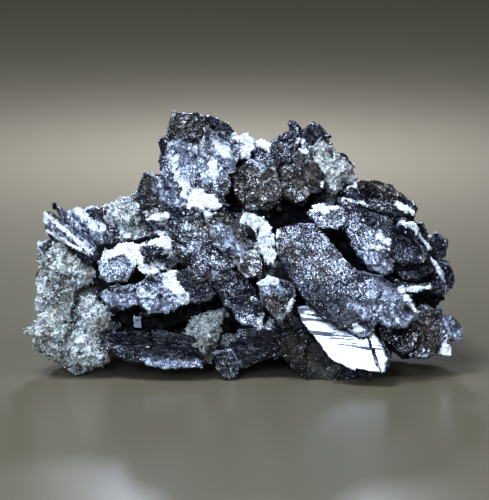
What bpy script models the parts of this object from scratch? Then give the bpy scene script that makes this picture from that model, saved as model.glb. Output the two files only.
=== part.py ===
"""A hand specimen of ferroaxinite: dark, axe-edged blades grown together on a pale, lumpy matrix.

Sizes are in millimetres and are made metres where a mesh is built. The blades are laid out on an
upright sheet that leans back by LEAN: x runs to the right, v up the sheet and w is the depth
behind it. onto_floor() turns the sheet's places into the part's own frame, with +Z up and the
origin under the middle of the specimen, on the surface that it rests on.
"""

import math

import bmesh
import bpy
import numpy as np

METRES = 0.001
LEAN = math.radians(12)
SHEET_ORIGIN = (0.0, -20.018, 2.02)  # where the sheet's own origin lies in the part's frame
GAP = 0.3  # room between the crystals and the matrix that holds them
RIM = 0.55  # depth of the bevel round a blade's face
SMALL = 3.2  # a blade whose mean radius is under this has a finer rim
FLAT_ANGLE = math.radians(0.5)  # faces that bend less than this are one face
LEAST_CRUMB = 40.0  # cubic millimetres; a loose scrap under this is dropped
GOLDEN = math.radians(137.5)

AXE = ((-1.0, -0.35), (-0.5, -0.95), (0.7, -0.8), (1.0, 0.15), (0.45, 1.0), (-0.75, 0.7))

blades = []


def onto_floor(points):
    """The sheet's (x, v, w) as the part's (x, y, z)."""
    x, v, w = np.asarray(points, float).T
    y = v * math.sin(LEAN) + w * math.cos(LEAN)
    z = v * math.cos(LEAN) - w * math.sin(LEAN)
    return np.column_stack([x, y, z]) + SHEET_ORIGIN


def rings_of(face, inward, thick, taper, number):
    """A blade's three rings: its bevelled face, its widest outline, and its root."""
    middle = face.mean(0)
    spread = np.linalg.norm(face - middle, axis=1).mean()
    rim = RIM * min(1.0, spread / SMALL)
    inset = min(0.45, 1.2 * rim / spread)
    turn = number * GOLDEN
    side = (face[0] - middle) / np.linalg.norm(face[0] - middle)
    other = np.cross(inward, side)
    offset = 0.5 * rim * (math.cos(turn) * side + math.sin(turn) * other)
    front = middle + (face - middle) * (1 - inset) + offset
    outline = face + rim * inward
    root = middle + (face - middle) * taper + thick * inward
    return np.vstack([front, outline, root])


def blade(outline, depth, yaw=0, pitch=0, thick=4, taper=0.85):
    """A blade drawn on the sheet. Yaw turns its face to the right, pitch turns it upwards."""
    flat = np.array(outline, float)
    slope = np.tan(np.radians([yaw, pitch]))
    depths = depth + (flat - flat.mean(0)) @ slope
    inward = np.append(-slope, 1.0) / math.hypot(1.0, *slope)
    face = np.column_stack([flat, depths])
    blades.append(rings_of(face, inward, thick, taper, len(blades)))


def habit(centre, length, width, thick, turn, rise=0, roll=0, taper=0.9):
    """A blade of the species' common form, facing turn degrees round from the sheet's front."""
    a, e, r = np.radians([turn, rise, roll])
    outward = np.array([math.sin(a) * math.cos(e), math.sin(e), -math.cos(a) * math.cos(e)])
    across = np.array([math.cos(a), 0.0, math.sin(a)])
    upward = np.cross(across, outward) * -1
    along = across * math.cos(r) + upward * math.sin(r)
    beside = upward * math.cos(r) - across * math.sin(r)
    corners = np.array(AXE) * (length / 2, width / 2)
    face = np.array(centre, float) + corners[:, :1] * along + corners[:, 1:] * beside
    blades.append(rings_of(face, -outward, thick, taper, len(blades)))


def lay_out_tower():
    """The left-hand peak, its shoulder and the ledge under them."""
    blade([(-12.2, 44.8), (-6.5, 43.8), (-5.8, 41.0), (-10.2, 39.2), (-13.4, 40.6)], 14.2, -12, 12, 9)
    blade(
        [(-6.9, 44.2), (-4.6, 43.6), (-2.3, 42.2), (-0.7, 40.3), (-1.3, 37.6), (-5.6, 39.6)],
        15, 28, 28, 8,
    )
    blade([(-14.5, 39.7), (-12.4, 40.8), (-11.2, 36.3), (-12.3, 32.6), (-14.3, 34.6)], 13.5, -28, 4, 8)
    blade(
        [(-13.0, 39.5), (-8.6, 41.0), (-5.6, 38.0), (-6.6, 34.0), (-11.8, 34.6), (-13.2, 36.8)],
        11.8, -8, 12, 9,
    )
    blade(
        [(-6.8, 41.8), (-2.8, 40.8), (-0.8, 37.8), (-1.6, 34.2), (-5.0, 33.6), (-7.4, 37.6)],
        11.6, 14, 18, 9,
    )
    blade([(-12.8, 36.4), (-8.4, 37.0), (-7.2, 32.6), (-9.2, 28.9), (-12.6, 32.0)], 10.6, -14, 10, 8)
    blade(
        [(-8.4, 37.2), (-3.4, 35.8), (-2.2, 32.0), (-3.8, 29.4), (-8.0, 29.6), (-9.2, 33.4)],
        10.0, 4, 16, 9,
    )
    blade([(-9.4, 31.2), (-3.6, 30.8), (-2.9, 28.8), (-6.5, 27.6), (-9.6, 28.2)], 8.6, 0, 38, 5)
    blade(
        [(-16.8, 34.4), (-14.1, 33.4), (-13.2, 29.6), (-14.2, 27.0), (-17.5, 27.2), (-18.8, 29.9)],
        12, -22, 4, 9,
    )
    blade([(-14.4, 33.6), (-11.2, 32.2), (-9.0, 28.8), (-10.4, 26.0), (-14.3, 26.8)], 10.2, 10, 14, 8)
    blade(
        [(-17.6, 27.8), (-14.2, 28.4), (-10.8, 26.4), (-7.4, 23.7), (-9.3, 22.2), (-14.4, 23.6)],
        9.6, -4, 8, 7,
    )
    blade([(-13.8, 34.6), (-12.2, 35.8), (-11.2, 33.8), (-12.4, 32.6), (-14.2, 33.0)], 12.2, -10, 20, 5)


def lay_out_right_peak():
    """The right-hand peak: two points, a rounded brown blade and the slab that leads up to it."""
    blade(
        [(5.6, 35.2), (8.1, 35.9), (10.0, 34.9), (10.9, 32.0), (9.8, 29.7), (8.4, 29.1), (6.2, 30.3)],
        11.4, -4, 12, 7,
    )
    blade([(9.6, 35.8), (11.8, 36.2), (13.5, 33.8), (12.9, 31.0), (10.6, 30.8)], 11.6, 16, 16, 6)
    blade([(7.6, 37.0), (9.1, 38.3), (11.4, 37.8), (12.0, 35.6), (9.0, 35.0)], 12.8, 0, 26, 8)
    blade([(3.7, 38.6), (5.2, 40.3), (7.1, 41.3), (8.7, 39.8), (8.3, 36.4), (5.0, 35.2)], 14.6, -8, 14, 8)
    blade([(7.5, 43.3), (8.7, 42.8), (9.6, 41.2), (9.1, 38.9), (7.2, 39.8)], 16.2, -14, 8, 5)
    blade(
        [(9.2, 41.2), (11.4, 42.8), (12.6, 42.6), (13.8, 41.4), (14.8, 38.2), (12.8, 37.4), (9.4, 38.4)],
        16.6, 10, 14, 7,
    )
    blade(
        [(13.6, 39.4), (15.0, 38.4), (17.0, 37.2), (18.2, 34.4), (18.8, 33.1), (15.6, 31.8), (13.4, 34.9)],
        16.2, 30, 18, 5,
    )
    blade(
        [(-2.3, 34.4), (0.8, 36.7), (5.2, 35.1), (6.3, 31.4),
         (5.7, 29.7), (2.8, 28.6), (0.2, 28.4), (-1.6, 30.4)],
        11.0, -6, 26, 8,
    )
    blade([(1.1, 38.2), (4.2, 39.4), (6.4, 37.8), (5.6, 34.8), (2.0, 34.9)], 14.4, 6, 24, 8)
    blade([(-1.6, 39.8), (0.3, 41.1), (1.6, 39.8), (0.9, 36.8), (-1.0, 36.4)], 14.4, 10, 20, 6)
    blade([(1.7, 39.4), (2.8, 40.1), (4.1, 39.3), (3.5, 37.8), (2.1, 37.7)], 16.4, 0, 20, 5)


def lay_out_middle():
    """The slab across the middle, the spear below it and the dark floor of the clefts."""
    blade(
        [(-7.0, 27.8), (0.8, 27.3), (3.7, 26.0), (4.7, 23.0),
         (4.8, 19.7), (2.6, 17.5), (-0.8, 18.4), (-5.0, 22.2)],
        6.6, 6, 18, 6,
    )
    blade(
        [(0.4, 27.2), (2.7, 26.9), (4.3, 25.1), (5.1, 22.2), (4.9, 19.2), (3.4, 18.8), (2.2, 23.0)],
        6.0, 28, 26, 4,
    )
    blade([(-0.9, 21.0), (1.7, 21.6), (3.0, 19.7), (2.8, 17.1), (0.2, 16.7), (-1.3, 18.2)], 5.2, -4, 10, 4)
    blade(
        [(-12.6, 26.0), (-6.8, 27.8), (-3.2, 23.8), (-1.0, 19.2),
         (-3.6, 17.4), (-7.6, 20.0), (-11.4, 23.0)],
        7.4, -6, 16, 7,
    )
    blade(
        [(-12.9, 23.4), (-7.4, 20.6), (-3.6, 17.4), (-2.6, 13.2),
         (-5.2, 15.0), (-9.3, 18.2), (-12.7, 21.0)],
        6.6, 12, 0, 6,
    )
    blade(
        [(-5.4, 18.0), (-0.8, 17.8), (1.8, 14.7), (3.2, 11.0),
         (2.8, 8.2), (-0.3, 8.6), (-3.2, 12.2), (-5.6, 15.6)],
        6.4, 5, -6, 7,
    )
    blade([(2.1, 15.8), (3.9, 17.1), (8.6, 15.9), (8.2, 13.0), (6.0, 9.3), (2.8, 12.2)], 4.6, 6, 4, 5)
    blade([(2.0, 19.6), (5.4, 19.6), (8.6, 15.8), (6.4, 13.6), (2.2, 15.8)], 6.8, 4, -10, 5)
    blade(
        [(-14, 24), (0, 29), (14, 28), (27, 23), (30, 12), (20, 6), (6, 6), (-4, 8), (-13, 15)],
        12.4, 0, 14, 6, 0.8,
    )
    blade([(-14, 34), (-6, 41), (6, 37), (12, 38), (13, 32), (10, 26), (-8, 27)], 16.4, 0, 10, 6, 0.8)
    blade([(5.0, 13.2), (8.6, 12.2), (10.8, 7.2), (9.0, 4.4), (5.4, 5.4), (2.8, 7.4)], 8.0, -6, -6, 7)
    blade([(-1.2, 8.2), (3.0, 8.6), (7.6, 7.4), (6.6, 5.0), (2.0, 4.6), (-1.4, 5.6)], 7.8, -4, -22, 9)
    blade(
        [(-2.6, 5.6), (3.2, 5.2), (6.8, 5.4), (6.4, 4.2), (3.7, 3.5), (2.0, 3.0), (0.5, 2.3), (-1.8, 2.4)],
        8.6, 4, -14, 9,
    )


def lay_out_front_blades():
    """The broad blade with its layers, the striated blade below it and the dark block under both."""
    blade(
        [(5.3, 24.9), (8.4, 26.0), (11.6, 25.9), (16.9, 19.4), (22.4, 14.6), (21.0, 10.2),
         (18.0, 8.8), (15.2, 8.7), (11.7, 11.2), (9.1, 14.2), (6.2, 18.4), (5.1, 21.4)],
        4.6, 4, 22, 3.6,
    )
    blade(
        [(16.6, 18.4), (22.5, 17.2), (26.6, 14.6), (28.3, 12.1), (28.4, 10.6),
         (26.3, 8.8), (24.2, 8.6), (21.0, 9.8), (17.6, 13.0)],
        4.5, 14, 20, 3.0,
    )
    blade(
        [(15.6, 10.2), (17.6, 13.2), (21.2, 12.2), (21.7, 9.3), (20.3, 7.4), (18.7, 7.2), (16.8, 8.2)],
        2.6, 6, 22, 2.6,
    )
    blade(
        [(20.6, 13.4), (26.0, 13.6), (28.4, 11.0), (26.4, 8.7), (24.3, 8.6), (21.4, 10.0)],
        3.6, 12, 16, 2.4,
    )
    blade(
        [(8.4, 12.2), (14.2, 13.0), (20.2, 9.0), (22.3, 6.3), (23.4, 3.6), (22.8, 1.4),
         (21.0, 1.3), (16.7, 2.1), (14.1, 3.4), (11.6, 6.8), (9.2, 9.6)],
        4.2, -8, 6, 4.8,
    )
    blade([(19.6, 8.6), (22.0, 7.0), (23.9, 4.3), (23.6, 2.1), (22.4, 1.3), (21.2, 3.4)], 4.0, 40, 26, 5.2)
    blade(
        [(6.0, 6.6), (9.4, 8.2), (15.0, 3.8), (21.4, 1.6), (20.3, 0.5),
         (17.3, -0.4), (14.7, -1.2), (10.5, -0.8), (8.1, 1.7), (5.8, 3.9)],
        8.4, 0, -16, 10, 0.8,
    )
    blade(
        [(8.0, 11.0), (10.2, 9.6), (14.6, 3.6), (21.2, 1.6), (16.0, -0.2), (11.0, 0.6), (8.6, 5.0)],
        8.4, -8, -10, 6,
    )
    blade([(22.0, 10.6), (25.2, 9.2), (26.8, 8.0), (25.4, 6.0), (22.4, 6.4)], 9.6, 0, 0, 6)


def lay_out_right_stack():
    """The blades that overlap like tiles down the right-hand side, and the knots at their edge."""
    blade(
        [(16.0, 31.2), (19.2, 33.1), (21.9, 33.2), (24.3, 32.2), (26.8, 30.4),
         (28.8, 28.4), (28.2, 27.3), (24.6, 27.1), (20.0, 28.6)],
        11.0, 12, 40, 3.4,
    )
    blade(
        [(21.0, 29.4), (24.8, 27.6), (28.7, 28.3), (28.3, 25.8), (25.0, 25.0), (21.2, 26.0)],
        11.8, 10, -8, 6,
    )
    blade(
        [(15.2, 30.2), (20.2, 30.0), (25.0, 27.6), (24.8, 25.6), (20.8, 25.8), (16.5, 27.8)],
        9.6, 6, 32, 4,
    )
    blade(
        [(10.2, 27.6), (12.8, 29.3), (16.0, 28.8), (16.9, 26.3), (15.4, 24.7), (12.0, 25.2)],
        7.6, -4, 22, 5,
    )
    blade(
        [(15.0, 28.4), (20.2, 28.2), (24.6, 25.8), (24.2, 23.5), (19.2, 23.8), (15.8, 24.9)],
        8.3, 6, 26, 4,
    )
    blade(
        [(16.2, 25.0), (20.8, 25.2), (23.9, 23.8), (23.9, 21.6), (20.2, 21.1), (17.6, 22.4)],
        7.2, 4, 20, 3,
    )
    blade(
        [(23.4, 25.5), (26.8, 25.9), (30.6, 22.1), (30.8, 20.3), (28.8, 19.1), (25.4, 19.2), (23.6, 21.0)],
        7.6, 14, 20, 3.4,
    )
    blade(
        [(17.2, 22.4), (20.2, 21.4), (23.9, 21.4), (24.6, 18.3), (23.3, 16.9), (20.4, 18.2)],
        6.5, 2, 14, 3.4,
    )
    blade(
        [(23.7, 20.4), (25.8, 20.4), (31.0, 20.0), (31.3, 17.7), (28.3, 16.4), (25.4, 16.7)],
        8.6, 6, 34, 3.6,
    )
    blade(
        [(23.7, 16.9), (27.5, 15.5), (32.0, 16.2), (32.3, 15.1), (27.5, 14.2), (24.8, 15.0)],
        7.2, 0, 0, 9, 0.95,
    )
    blade(
        [(26.6, 25.6), (27.9, 25.9), (31.0, 22.0), (33.4, 16.2), (32.2, 15.6), (29.7, 20.6)],
        8.2, 48, 6, 7,
    )
    blade(
        [(30.1, 23.0), (31.5, 24.4), (33.9, 23.1), (33.5, 20.2), (31.5, 19.2), (30.4, 20.7)],
        11.0, 18, 8, 6,
    )
    blade([(31.8, 19.5), (33.5, 19.4), (35.1, 16.3), (34.5, 14.9), (32.8, 15.3)], 11.0, 24, 4, 4)
    blade([(30.5, 15.9), (32.7, 16.3), (33.8, 14.7), (33.2, 13.8), (31.0, 14.2)], 8.8, 10, -8, 6)
    blade([(16, 32), (24, 31), (31, 24), (32, 17), (28, 14.5), (20, 18), (14, 26)], 13.6, 8, 14, 5, 0.8)
    blade(
        [(27.3, 11.0), (29.3, 12.4), (32.5, 11.4), (32.9, 7.2), (32.2, 5.2),
         (31.3, 3.8), (29.8, 3.2), (27.4, 3.7), (26.2, 5.5), (26.4, 8.8)],
        8.8, 8, 4, 9,
    )
    blade([(22.6, 6.8), (25.8, 8.1), (28.6, 8.0), (28.7, 5.3), (25.7, 4.2)], 7.8, -6, 12, 8)
    blade([(32.5, 10.4), (34.5, 10.5), (35.9, 8.9), (36.1, 7.0), (35.0, 6.1), (32.4, 7.0)], 10.2, 14, 6, 6)
    blade([(32.0, 6.9), (34.1, 5.8), (34.3, 4.0), (32.3, 4.0)], 9.8, 6, 2, 5)
    blade([(20, 14), (30, 14), (33, 9), (30, 4.5), (24, 5), (20, 8)], 13.4, 6, 0, 7, 0.8)


def lay_out_left_blocks():
    """The stubby crystals that stand proud on the left of the middle, and the leaves under them."""
    blade(
        [(-24.2, 19.4), (-22.8, 21.2), (-18.7, 21.2), (-17.7, 19.3),
         (-19.4, 16.2), (-22.2, 15.9), (-23.9, 16.8)],
        4.6, -10, 6, 7,
    )
    blade([(-22.9, 20.8), (-20.8, 22.5), (-18.4, 22.6), (-17.4, 20.4), (-18.9, 19.2)], 5.6, 0, 48, 5)
    blade([(-19.3, 22.2), (-17.6, 22.2), (-14.7, 18.0), (-15.8, 17.1), (-17.6, 18.2)], 4.4, -24, 10, 6)
    blade(
        [(-17.6, 22.2), (-13.2, 23.9), (-11.4, 22.2), (-10.8, 19.3), (-12.2, 17.9), (-14.9, 18.2)],
        6.2, 6, 12, 7,
    )
    blade([(-17.4, 21.8), (-13.3, 23.9), (-11.5, 22.4), (-12.4, 21.4), (-16.4, 20.4)], 5.2, 6, 44, 4)
    blade(
        [(-24.1, 14.4), (-22.2, 15.4), (-18.2, 15.7), (-17.7, 13.0), (-19.2, 11.6), (-22.3, 11.6)],
        4.2, -6, 12, 7,
    )
    blade(
        [(-18.1, 15.6), (-15.8, 17.4), (-12.4, 17.8), (-10.6, 16.0), (-9.8, 14.2), (-17.6, 13.4)],
        3.8, 2, 30, 7,
    )
    blade(
        [(-17.8, 13.4), (-15.8, 14.8), (-11.4, 15.2), (-9.6, 13.0), (-11.3, 11.6), (-15.8, 10.8)],
        3.0, 4, 4, 7,
    )
    blade(
        [(-12.6, 17.8), (-9.2, 18.4), (-6.5, 16.4), (-4.6, 14.0),
         (-6.5, 12.9), (-9.8, 12.8), (-11.7, 15.2)],
        4.6, 8, 12, 6,
    )
    blade([(-25, 22), (-12, 24), (-6, 17), (-7, 11), (-14, 8), (-24, 10)], 9.4, 0, 4, 6, 0.85)
    blade([(-18.4, 10.4), (-17.1, 10.5), (-17.1, 8.6), (-18.3, 8.6)], 6.6, 8, 16, 5)
    blade(
        [(-23.6, 7.4), (-15.8, 8.2), (-8.2, 6.9), (-7.4, 4.8), (-15.8, 4.2), (-22.9, 4.8)],
        8.0, 2, -12, 8,
    )
    blade([(-22.6, 5.2), (-14.2, 6.0), (-7.4, 5.2), (-6.8, 3.2), (-12.5, 2.4), (-20.2, 3.0)], 7.5, 2, -8, 8)
    blade([(-17.6, 3.5), (-12.5, 4.2), (-6.9, 3.4), (-7.1, 1.9), (-12.4, 1.7), (-16.4, 2.2)], 7.1, 2, -4, 8)
    blade(
        [(-5.8, 4.6), (-2.2, 5.0), (-0.5, 2.8), (-1.2, 0.2), (-2.2, -0.3), (-3.2, -0.1), (-4.6, 1.7)],
        8.2, 6, -8, 6,
    )


def lay_out_fan():
    """The spray of thin blades at the upper left and the brown spike under it."""
    blade(
        [(-33.6, 27.6), (-32.4, 27.8), (-29.2, 25.4), (-23.4, 20.4),
         (-24.6, 19.6), (-29.3, 22.2), (-33.7, 26.0)],
        9.4, -18, 12, 5,
    )
    blade(
        [(-31.9, 28.7), (-30.4, 28.3), (-27.3, 25.4), (-24.2, 21.4), (-25.8, 20.8), (-29.9, 24.8)],
        10.8, -14, 10, 5,
    )
    blade(
        [(-29.9, 28.1), (-27.7, 28.4), (-24.6, 25.4), (-22.6, 21.4), (-24.6, 21.1), (-27.9, 25.2)],
        11.8, -8, 12, 5,
    )
    blade(
        [(-27.8, 28.1), (-25.8, 28.7), (-23.3, 25.4), (-21.3, 21.4), (-23.3, 20.9), (-25.7, 24.2)],
        12.2, -4, 12, 6,
    )
    blade(
        [(-25.9, 28.9), (-22.7, 28.1), (-20.3, 25.6), (-19.7, 22.9), (-21.9, 21.2), (-24.3, 24.6)],
        13.0, 2, 12, 6,
    )
    blade(
        [(-33.4, 25.6), (-29.0, 23.0), (-24.4, 19.8), (-25.4, 18.6), (-30.0, 20.6), (-33.2, 24.0)],
        10.6, -22, -14, 6,
    )
    blade(
        [(-34.8, 21.9), (-32.8, 23.3), (-30.4, 23.0), (-27.4, 21.0), (-29.2, 19.2), (-33.5, 19.9)],
        11.2, -8, 14, 5,
    )
    blade(
        [(-31.0, 25.0), (-26.0, 27.0), (-21.0, 25.6), (-21.2, 21.6), (-25.6, 19.8), (-29.6, 22.0)],
        14.0, -4, 8, 6, 0.8,
    )


def lay_out_back():
    """The blades on the sides and the back, of the species' common form: each row of them lies
    like tiles on the row below."""
    habit((-7.5, 38.5, 22.0), 12, 8, 5, turn=165, rise=30, roll=60)
    habit((-3.0, 33.5, 25.5), 13, 8, 5, turn=200, rise=48, roll=10)
    habit((-13.5, 33.0, 20.0), 11, 8, 5, turn=-105, rise=15, roll=75)
    habit((4.0, 35.5, 24.0), 11, 8, 5, turn=170, rise=40, roll=-25)
    habit((11.0, 36.5, 22.5), 11, 7, 5, turn=150, rise=25, roll=65)
    habit((9.0, 30.0, 28.0), 14, 7, 4.5, turn=185, rise=55, roll=8)
    habit((21.5, 28.6, 21.5), 13, 8, 4.5, turn=140, rise=50, roll=-25)
    habit((24.5, 24.0, 27.0), 13, 7, 4.5, turn=155, rise=50, roll=-30)
    habit((30.5, 21.0, 18.0), 11, 8, 4.5, turn=105, rise=12, roll=50)
    habit((31.5, 14.0, 18.5), 13, 8, 4.5, turn=110, rise=-4, roll=25)
    habit((17.5, 21.5, 30.0), 13, 7, 4.5, turn=176, rise=46, roll=20)
    habit((28.0, 14.5, 25.5), 13, 8, 4.5, turn=140, rise=22, roll=-15)
    habit((31.5, 7.5, 17.5), 9, 7, 4.5, turn=100, rise=-8, roll=60)
    habit((-16.5, 26.0, 23.5), 12, 7, 4.5, turn=-150, rise=45, roll=-40)
    habit((1.0, 26.8, 29.5), 13, 6.5, 4.5, turn=190, rise=52, roll=-10)
    habit((-7.0, 23.6, 29.5), 11, 6, 4.5, turn=172, rise=44, roll=12)
    habit((-13.5, 20.4, 28.0), 9, 6, 4.5, turn=-160, rise=38, roll=-18)


lay_out_tower()
lay_out_right_peak()
lay_out_middle()
lay_out_front_blades()
lay_out_right_stack()
lay_out_left_blocks()
lay_out_fan()
lay_out_back()

# The matrix's lumps: the middle and the half-lengths of each along x, v and w.
LUMPS = (
    ((0, 16, 21.5), (25, 12, 8.5)),
    ((-31.0, 8.0, 11.5), (5.3, 4.9, 6)),
    ((-27.0, 5.0, 13.5), (5.4, 4.8, 7)),
    ((-31.0, 13.0, 13), (4.2, 4.6, 6)),
    ((-24.5, 9.6, 12.5), (5.0, 4.8, 6)),
    ((-29.3, 17.5, 14.5), (6.2, 6.4, 7)),
    ((-32.4, 20.6, 14), (2.6, 2.4, 3.5)),
    ((-6.4, 7.4, 12.5), (5.0, 5.4, 5.6)),
    ((-8.0, 6.5, 20.5), (7.0, 5.5, 6)),
    ((-20.5, 27.0, 17), (5.4, 2.9, 6)),
    ((-15.4, 29.8, 18), (3.6, 3.4, 5)),
    ((-25.0, 24.5, 17.5), (6.5, 4.4, 6)),
    ((14.2, 35.2, 16.4), (4.0, 4.4, 5.4)),
    ((16.2, 30.0, 21.5), (4.6, 6.0, 4.6)),
    ((23, 21, 20.5), (9, 9, 6.5)),
    ((25, 10, 20), (9, 7, 7)),
    ((-24, 14, 21), (8, 9, 8)),
    ((-17, 8, 26.5), (9, 8, 7.5)),
    ((-5.5, 9.5, 28.5), (8, 9.5, 6.5)),
    ((5.5, 8, 28.5), (8.5, 8, 7)),
    ((16, 10, 27.5), (8.5, 8, 7)),
    ((-1.8, 4.8, 14), (3.8, 3.6, 5)),
    ((-28.0, 12.0, 15), (5.0, 5.0, 6)),
    ((6, 18.5, 29), (8, 6, 5.5)),
    ((-16, 18.5, 26), (7, 6, 5.5)),
    ((-8, 29, 24.5), (7, 6, 5)),
    ((-18, 23.5, 17), (5, 4, 5)),
    ((20, 15.5, 26), (7, 6, 6)),
    ((15, 26, 23), (5, 6, 5)),
    ((12, 15, 26.5), (6, 6, 5.5)),
)
LUMP_POINTS = 20
LUMP_SEED = 5


def lump_points(number, middle, half):
    """Seeded points on an ellipsoid; their hull is a lump with broken, flat faces."""
    rng = np.random.default_rng([LUMP_SEED, number])
    spots = rng.normal(size=(LUMP_POINTS, 3))
    spots /= np.linalg.norm(spots, axis=1)[:, None]
    return np.array(middle) + spots * half * rng.uniform(0.88, 1.08, (LUMP_POINTS, 1))


def hull_mesh(points):
    """The convex hull of sheet points, as a bmesh in metres."""
    mesh = bmesh.new()
    for place in onto_floor(points) * METRES:
        mesh.verts.new(place)
    made = bmesh.ops.convex_hull(mesh, input=mesh.verts)
    spare = [item for item in made["geom_interior"] if isinstance(item, bmesh.types.BMVert)]
    bmesh.ops.delete(mesh, geom=spare, context="VERTS")
    loose = [vert for vert in mesh.verts if not vert.link_faces]
    bmesh.ops.delete(mesh, geom=loose, context="VERTS")
    bmesh.ops.recalc_face_normals(mesh, faces=mesh.faces)
    return mesh


def grown(mesh, by):
    """The hull with every face moved out by the same distance: each corner slides out to where
    its moved faces meet."""
    places = []
    for vert in mesh.verts:
        normals = np.array([face.normal for face in vert.link_faces])
        step = np.linalg.lstsq(normals, np.full(len(normals), by), rcond=1e-3)[0]
        length = np.linalg.norm(step)
        places.append(np.array(vert.co) + step * min(1.0, 3 * by / length))
    bigger = bmesh.new()
    for place in places:
        bigger.verts.new(place)
    bmesh.ops.convex_hull(bigger, input=bigger.verts)
    bmesh.ops.recalc_face_normals(bigger, faces=bigger.faces)
    return bigger


def add_object(name, mesh, hidden=False):
    data = bpy.data.meshes.new(name)
    mesh.to_mesh(data)
    mesh.free()
    made = bpy.data.objects.new(name, data)
    bpy.context.scene.collection.objects.link(made)
    if hidden:
        made.hide_render = True
        made.display_type = "WIRE"
    return made


def group_of(name, objects):
    """The objects moved to a collection of their own, for a Boolean to use together."""
    group = bpy.data.collections.new(name)
    bpy.context.scene.collection.children.link(group)
    for item in objects:
        bpy.context.scene.collection.objects.unlink(item)
        group.objects.link(item)
    return group


def boolean(target, operation, group):
    cut = target.modifiers.new(group.name, "BOOLEAN")
    cut.operation = operation
    cut.solver = "EXACT"
    cut.operand_type = "COLLECTION"
    cut.collection = group


def apply_modifiers(target):
    """The object's evaluated mesh in place of its own, with coplanar faces made one."""
    bpy.context.view_layer.update()
    graph = bpy.context.evaluated_depsgraph_get()
    mesh = bmesh.new()
    mesh.from_mesh(target.evaluated_get(graph).to_mesh())
    target.modifiers.clear()
    bmesh.ops.remove_doubles(mesh, verts=mesh.verts, dist=1e-6)
    bmesh.ops.dissolve_limit(mesh, angle_limit=FLAT_ANGLE, verts=mesh.verts, edges=mesh.edges)
    bmesh.ops.triangulate(mesh, faces=mesh.faces)
    mesh.to_mesh(target.data)
    mesh.free()


def islands(mesh):
    """Lists of faces that hang together."""
    left = set(mesh.faces)
    while left:
        start = left.pop()
        found, edge = [start], [start]
        while edge:
            face = edge.pop()
            for side in face.edges:
                for other in side.link_faces:
                    if other in left:
                        left.remove(other)
                        found.append(other)
                        edge.append(other)
        yield found


def volume_of(faces):
    """The volume inside closed, triangular faces, in cubic metres."""
    total = 0.0
    for face in faces:
        a, b, c = (vert.co for vert in face.verts)
        total += a.dot(b.cross(c)) / 6
    return total


def drop_crumbs(target, least):
    """Takes out the islands that are smaller than least, in cubic millimetres."""
    mesh = bmesh.new()
    mesh.from_mesh(target.data)
    small = [f for part in islands(mesh) if volume_of(part) < least * METRES**3 for f in part]
    bmesh.ops.delete(mesh, geom=small, context="FACES")
    mesh.to_mesh(target.data)
    mesh.free()


def floor_block():
    """A block whose top is the surface that the specimen rests on."""
    side, height = 150 * METRES, 20 * METRES
    mesh = bmesh.new()
    bmesh.ops.create_cube(mesh, size=1.0)
    bmesh.ops.scale(mesh, vec=(side, side, height), verts=mesh.verts)
    bmesh.ops.translate(mesh, vec=(0, 0, -height / 2), verts=mesh.verts)
    return add_object("floor_block", mesh, hidden=True)


def finish_of(name, colour, roughness):
    stuff = bpy.data.materials.new(name)
    stuff.use_nodes = True
    shader = stuff.node_tree.nodes["Principled BSDF"]
    shader.inputs["Base Color"].default_value = (*colour, 1.0)
    shader.inputs["Roughness"].default_value = roughness
    shader.inputs["Metallic"].default_value = 0.0
    return stuff


def united(name, hulls, floor, stuff):
    """Hulls joined in one object that is flat where it meets the floor."""
    first, *others = hulls
    whole = add_object(name, first)
    parts = [add_object(f"{name}_{n:03d}", mesh, hidden=True) for n, mesh in enumerate(others)]
    boolean(whole, "UNION", group_of(f"{name}_parts", parts))
    apply_modifiers(whole)
    boolean(whole, "DIFFERENCE", floor)
    apply_modifiers(whole)
    whole.data.materials.append(stuff)
    return whole


def build():
    for item in list(bpy.data.objects):
        bpy.data.objects.remove(item)
    floor = group_of("floor", [floor_block()])
    crystals = united(
        "crystals",
        [hull_mesh(points) for points in blades],
        floor,
        finish_of("axinite", (0.055, 0.042, 0.040), 0.28),
    )
    drop_crumbs(crystals, LEAST_CRUMB)
    matrix = united(
        "matrix",
        [hull_mesh(lump_points(n, *lump)) for n, lump in enumerate(LUMPS)],
        floor,
        finish_of("rock", (0.50, 0.52, 0.46), 0.8),
    )
    sockets = [grown(hull_mesh(points), GAP * METRES) for points in blades]
    cutters = [add_object(f"socket_{n:03d}", mesh, hidden=True) for n, mesh in enumerate(sockets)]
    boolean(matrix, "DIFFERENCE", group_of("sockets", cutters))
    apply_modifiers(matrix)
    drop_crumbs(matrix, LEAST_CRUMB)


build()
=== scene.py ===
"""Ferroaxinite specimen: dark axe-edged blades, dusted and crusted with white, on a pale lumpy rock.

Tables are in millimetres and the finished meshes in metres. The blades are laid out on an upright
sheet that leans back by LEAN: x runs right, v up the sheet and w is the depth behind it. Patterns are
worked out on the sheet, and onto_floor() carries the finished points into the part's own frame.
"""

import itertools
import math

import bpy
import numpy as np
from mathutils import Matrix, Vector


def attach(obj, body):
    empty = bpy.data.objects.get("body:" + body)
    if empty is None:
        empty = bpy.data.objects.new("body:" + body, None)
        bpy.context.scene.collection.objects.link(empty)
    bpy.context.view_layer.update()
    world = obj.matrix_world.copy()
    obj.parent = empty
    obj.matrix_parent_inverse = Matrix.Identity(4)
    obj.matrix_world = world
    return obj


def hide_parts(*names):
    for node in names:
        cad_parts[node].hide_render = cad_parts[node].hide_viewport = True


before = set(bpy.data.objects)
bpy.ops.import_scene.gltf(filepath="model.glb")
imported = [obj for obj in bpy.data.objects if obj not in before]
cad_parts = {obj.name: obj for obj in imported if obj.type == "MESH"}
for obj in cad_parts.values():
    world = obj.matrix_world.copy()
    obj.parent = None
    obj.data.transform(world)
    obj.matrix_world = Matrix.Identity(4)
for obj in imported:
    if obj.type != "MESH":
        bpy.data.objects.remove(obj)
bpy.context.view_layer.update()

MILLIMETRE = 0.001
LEAN = math.radians(12)
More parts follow.
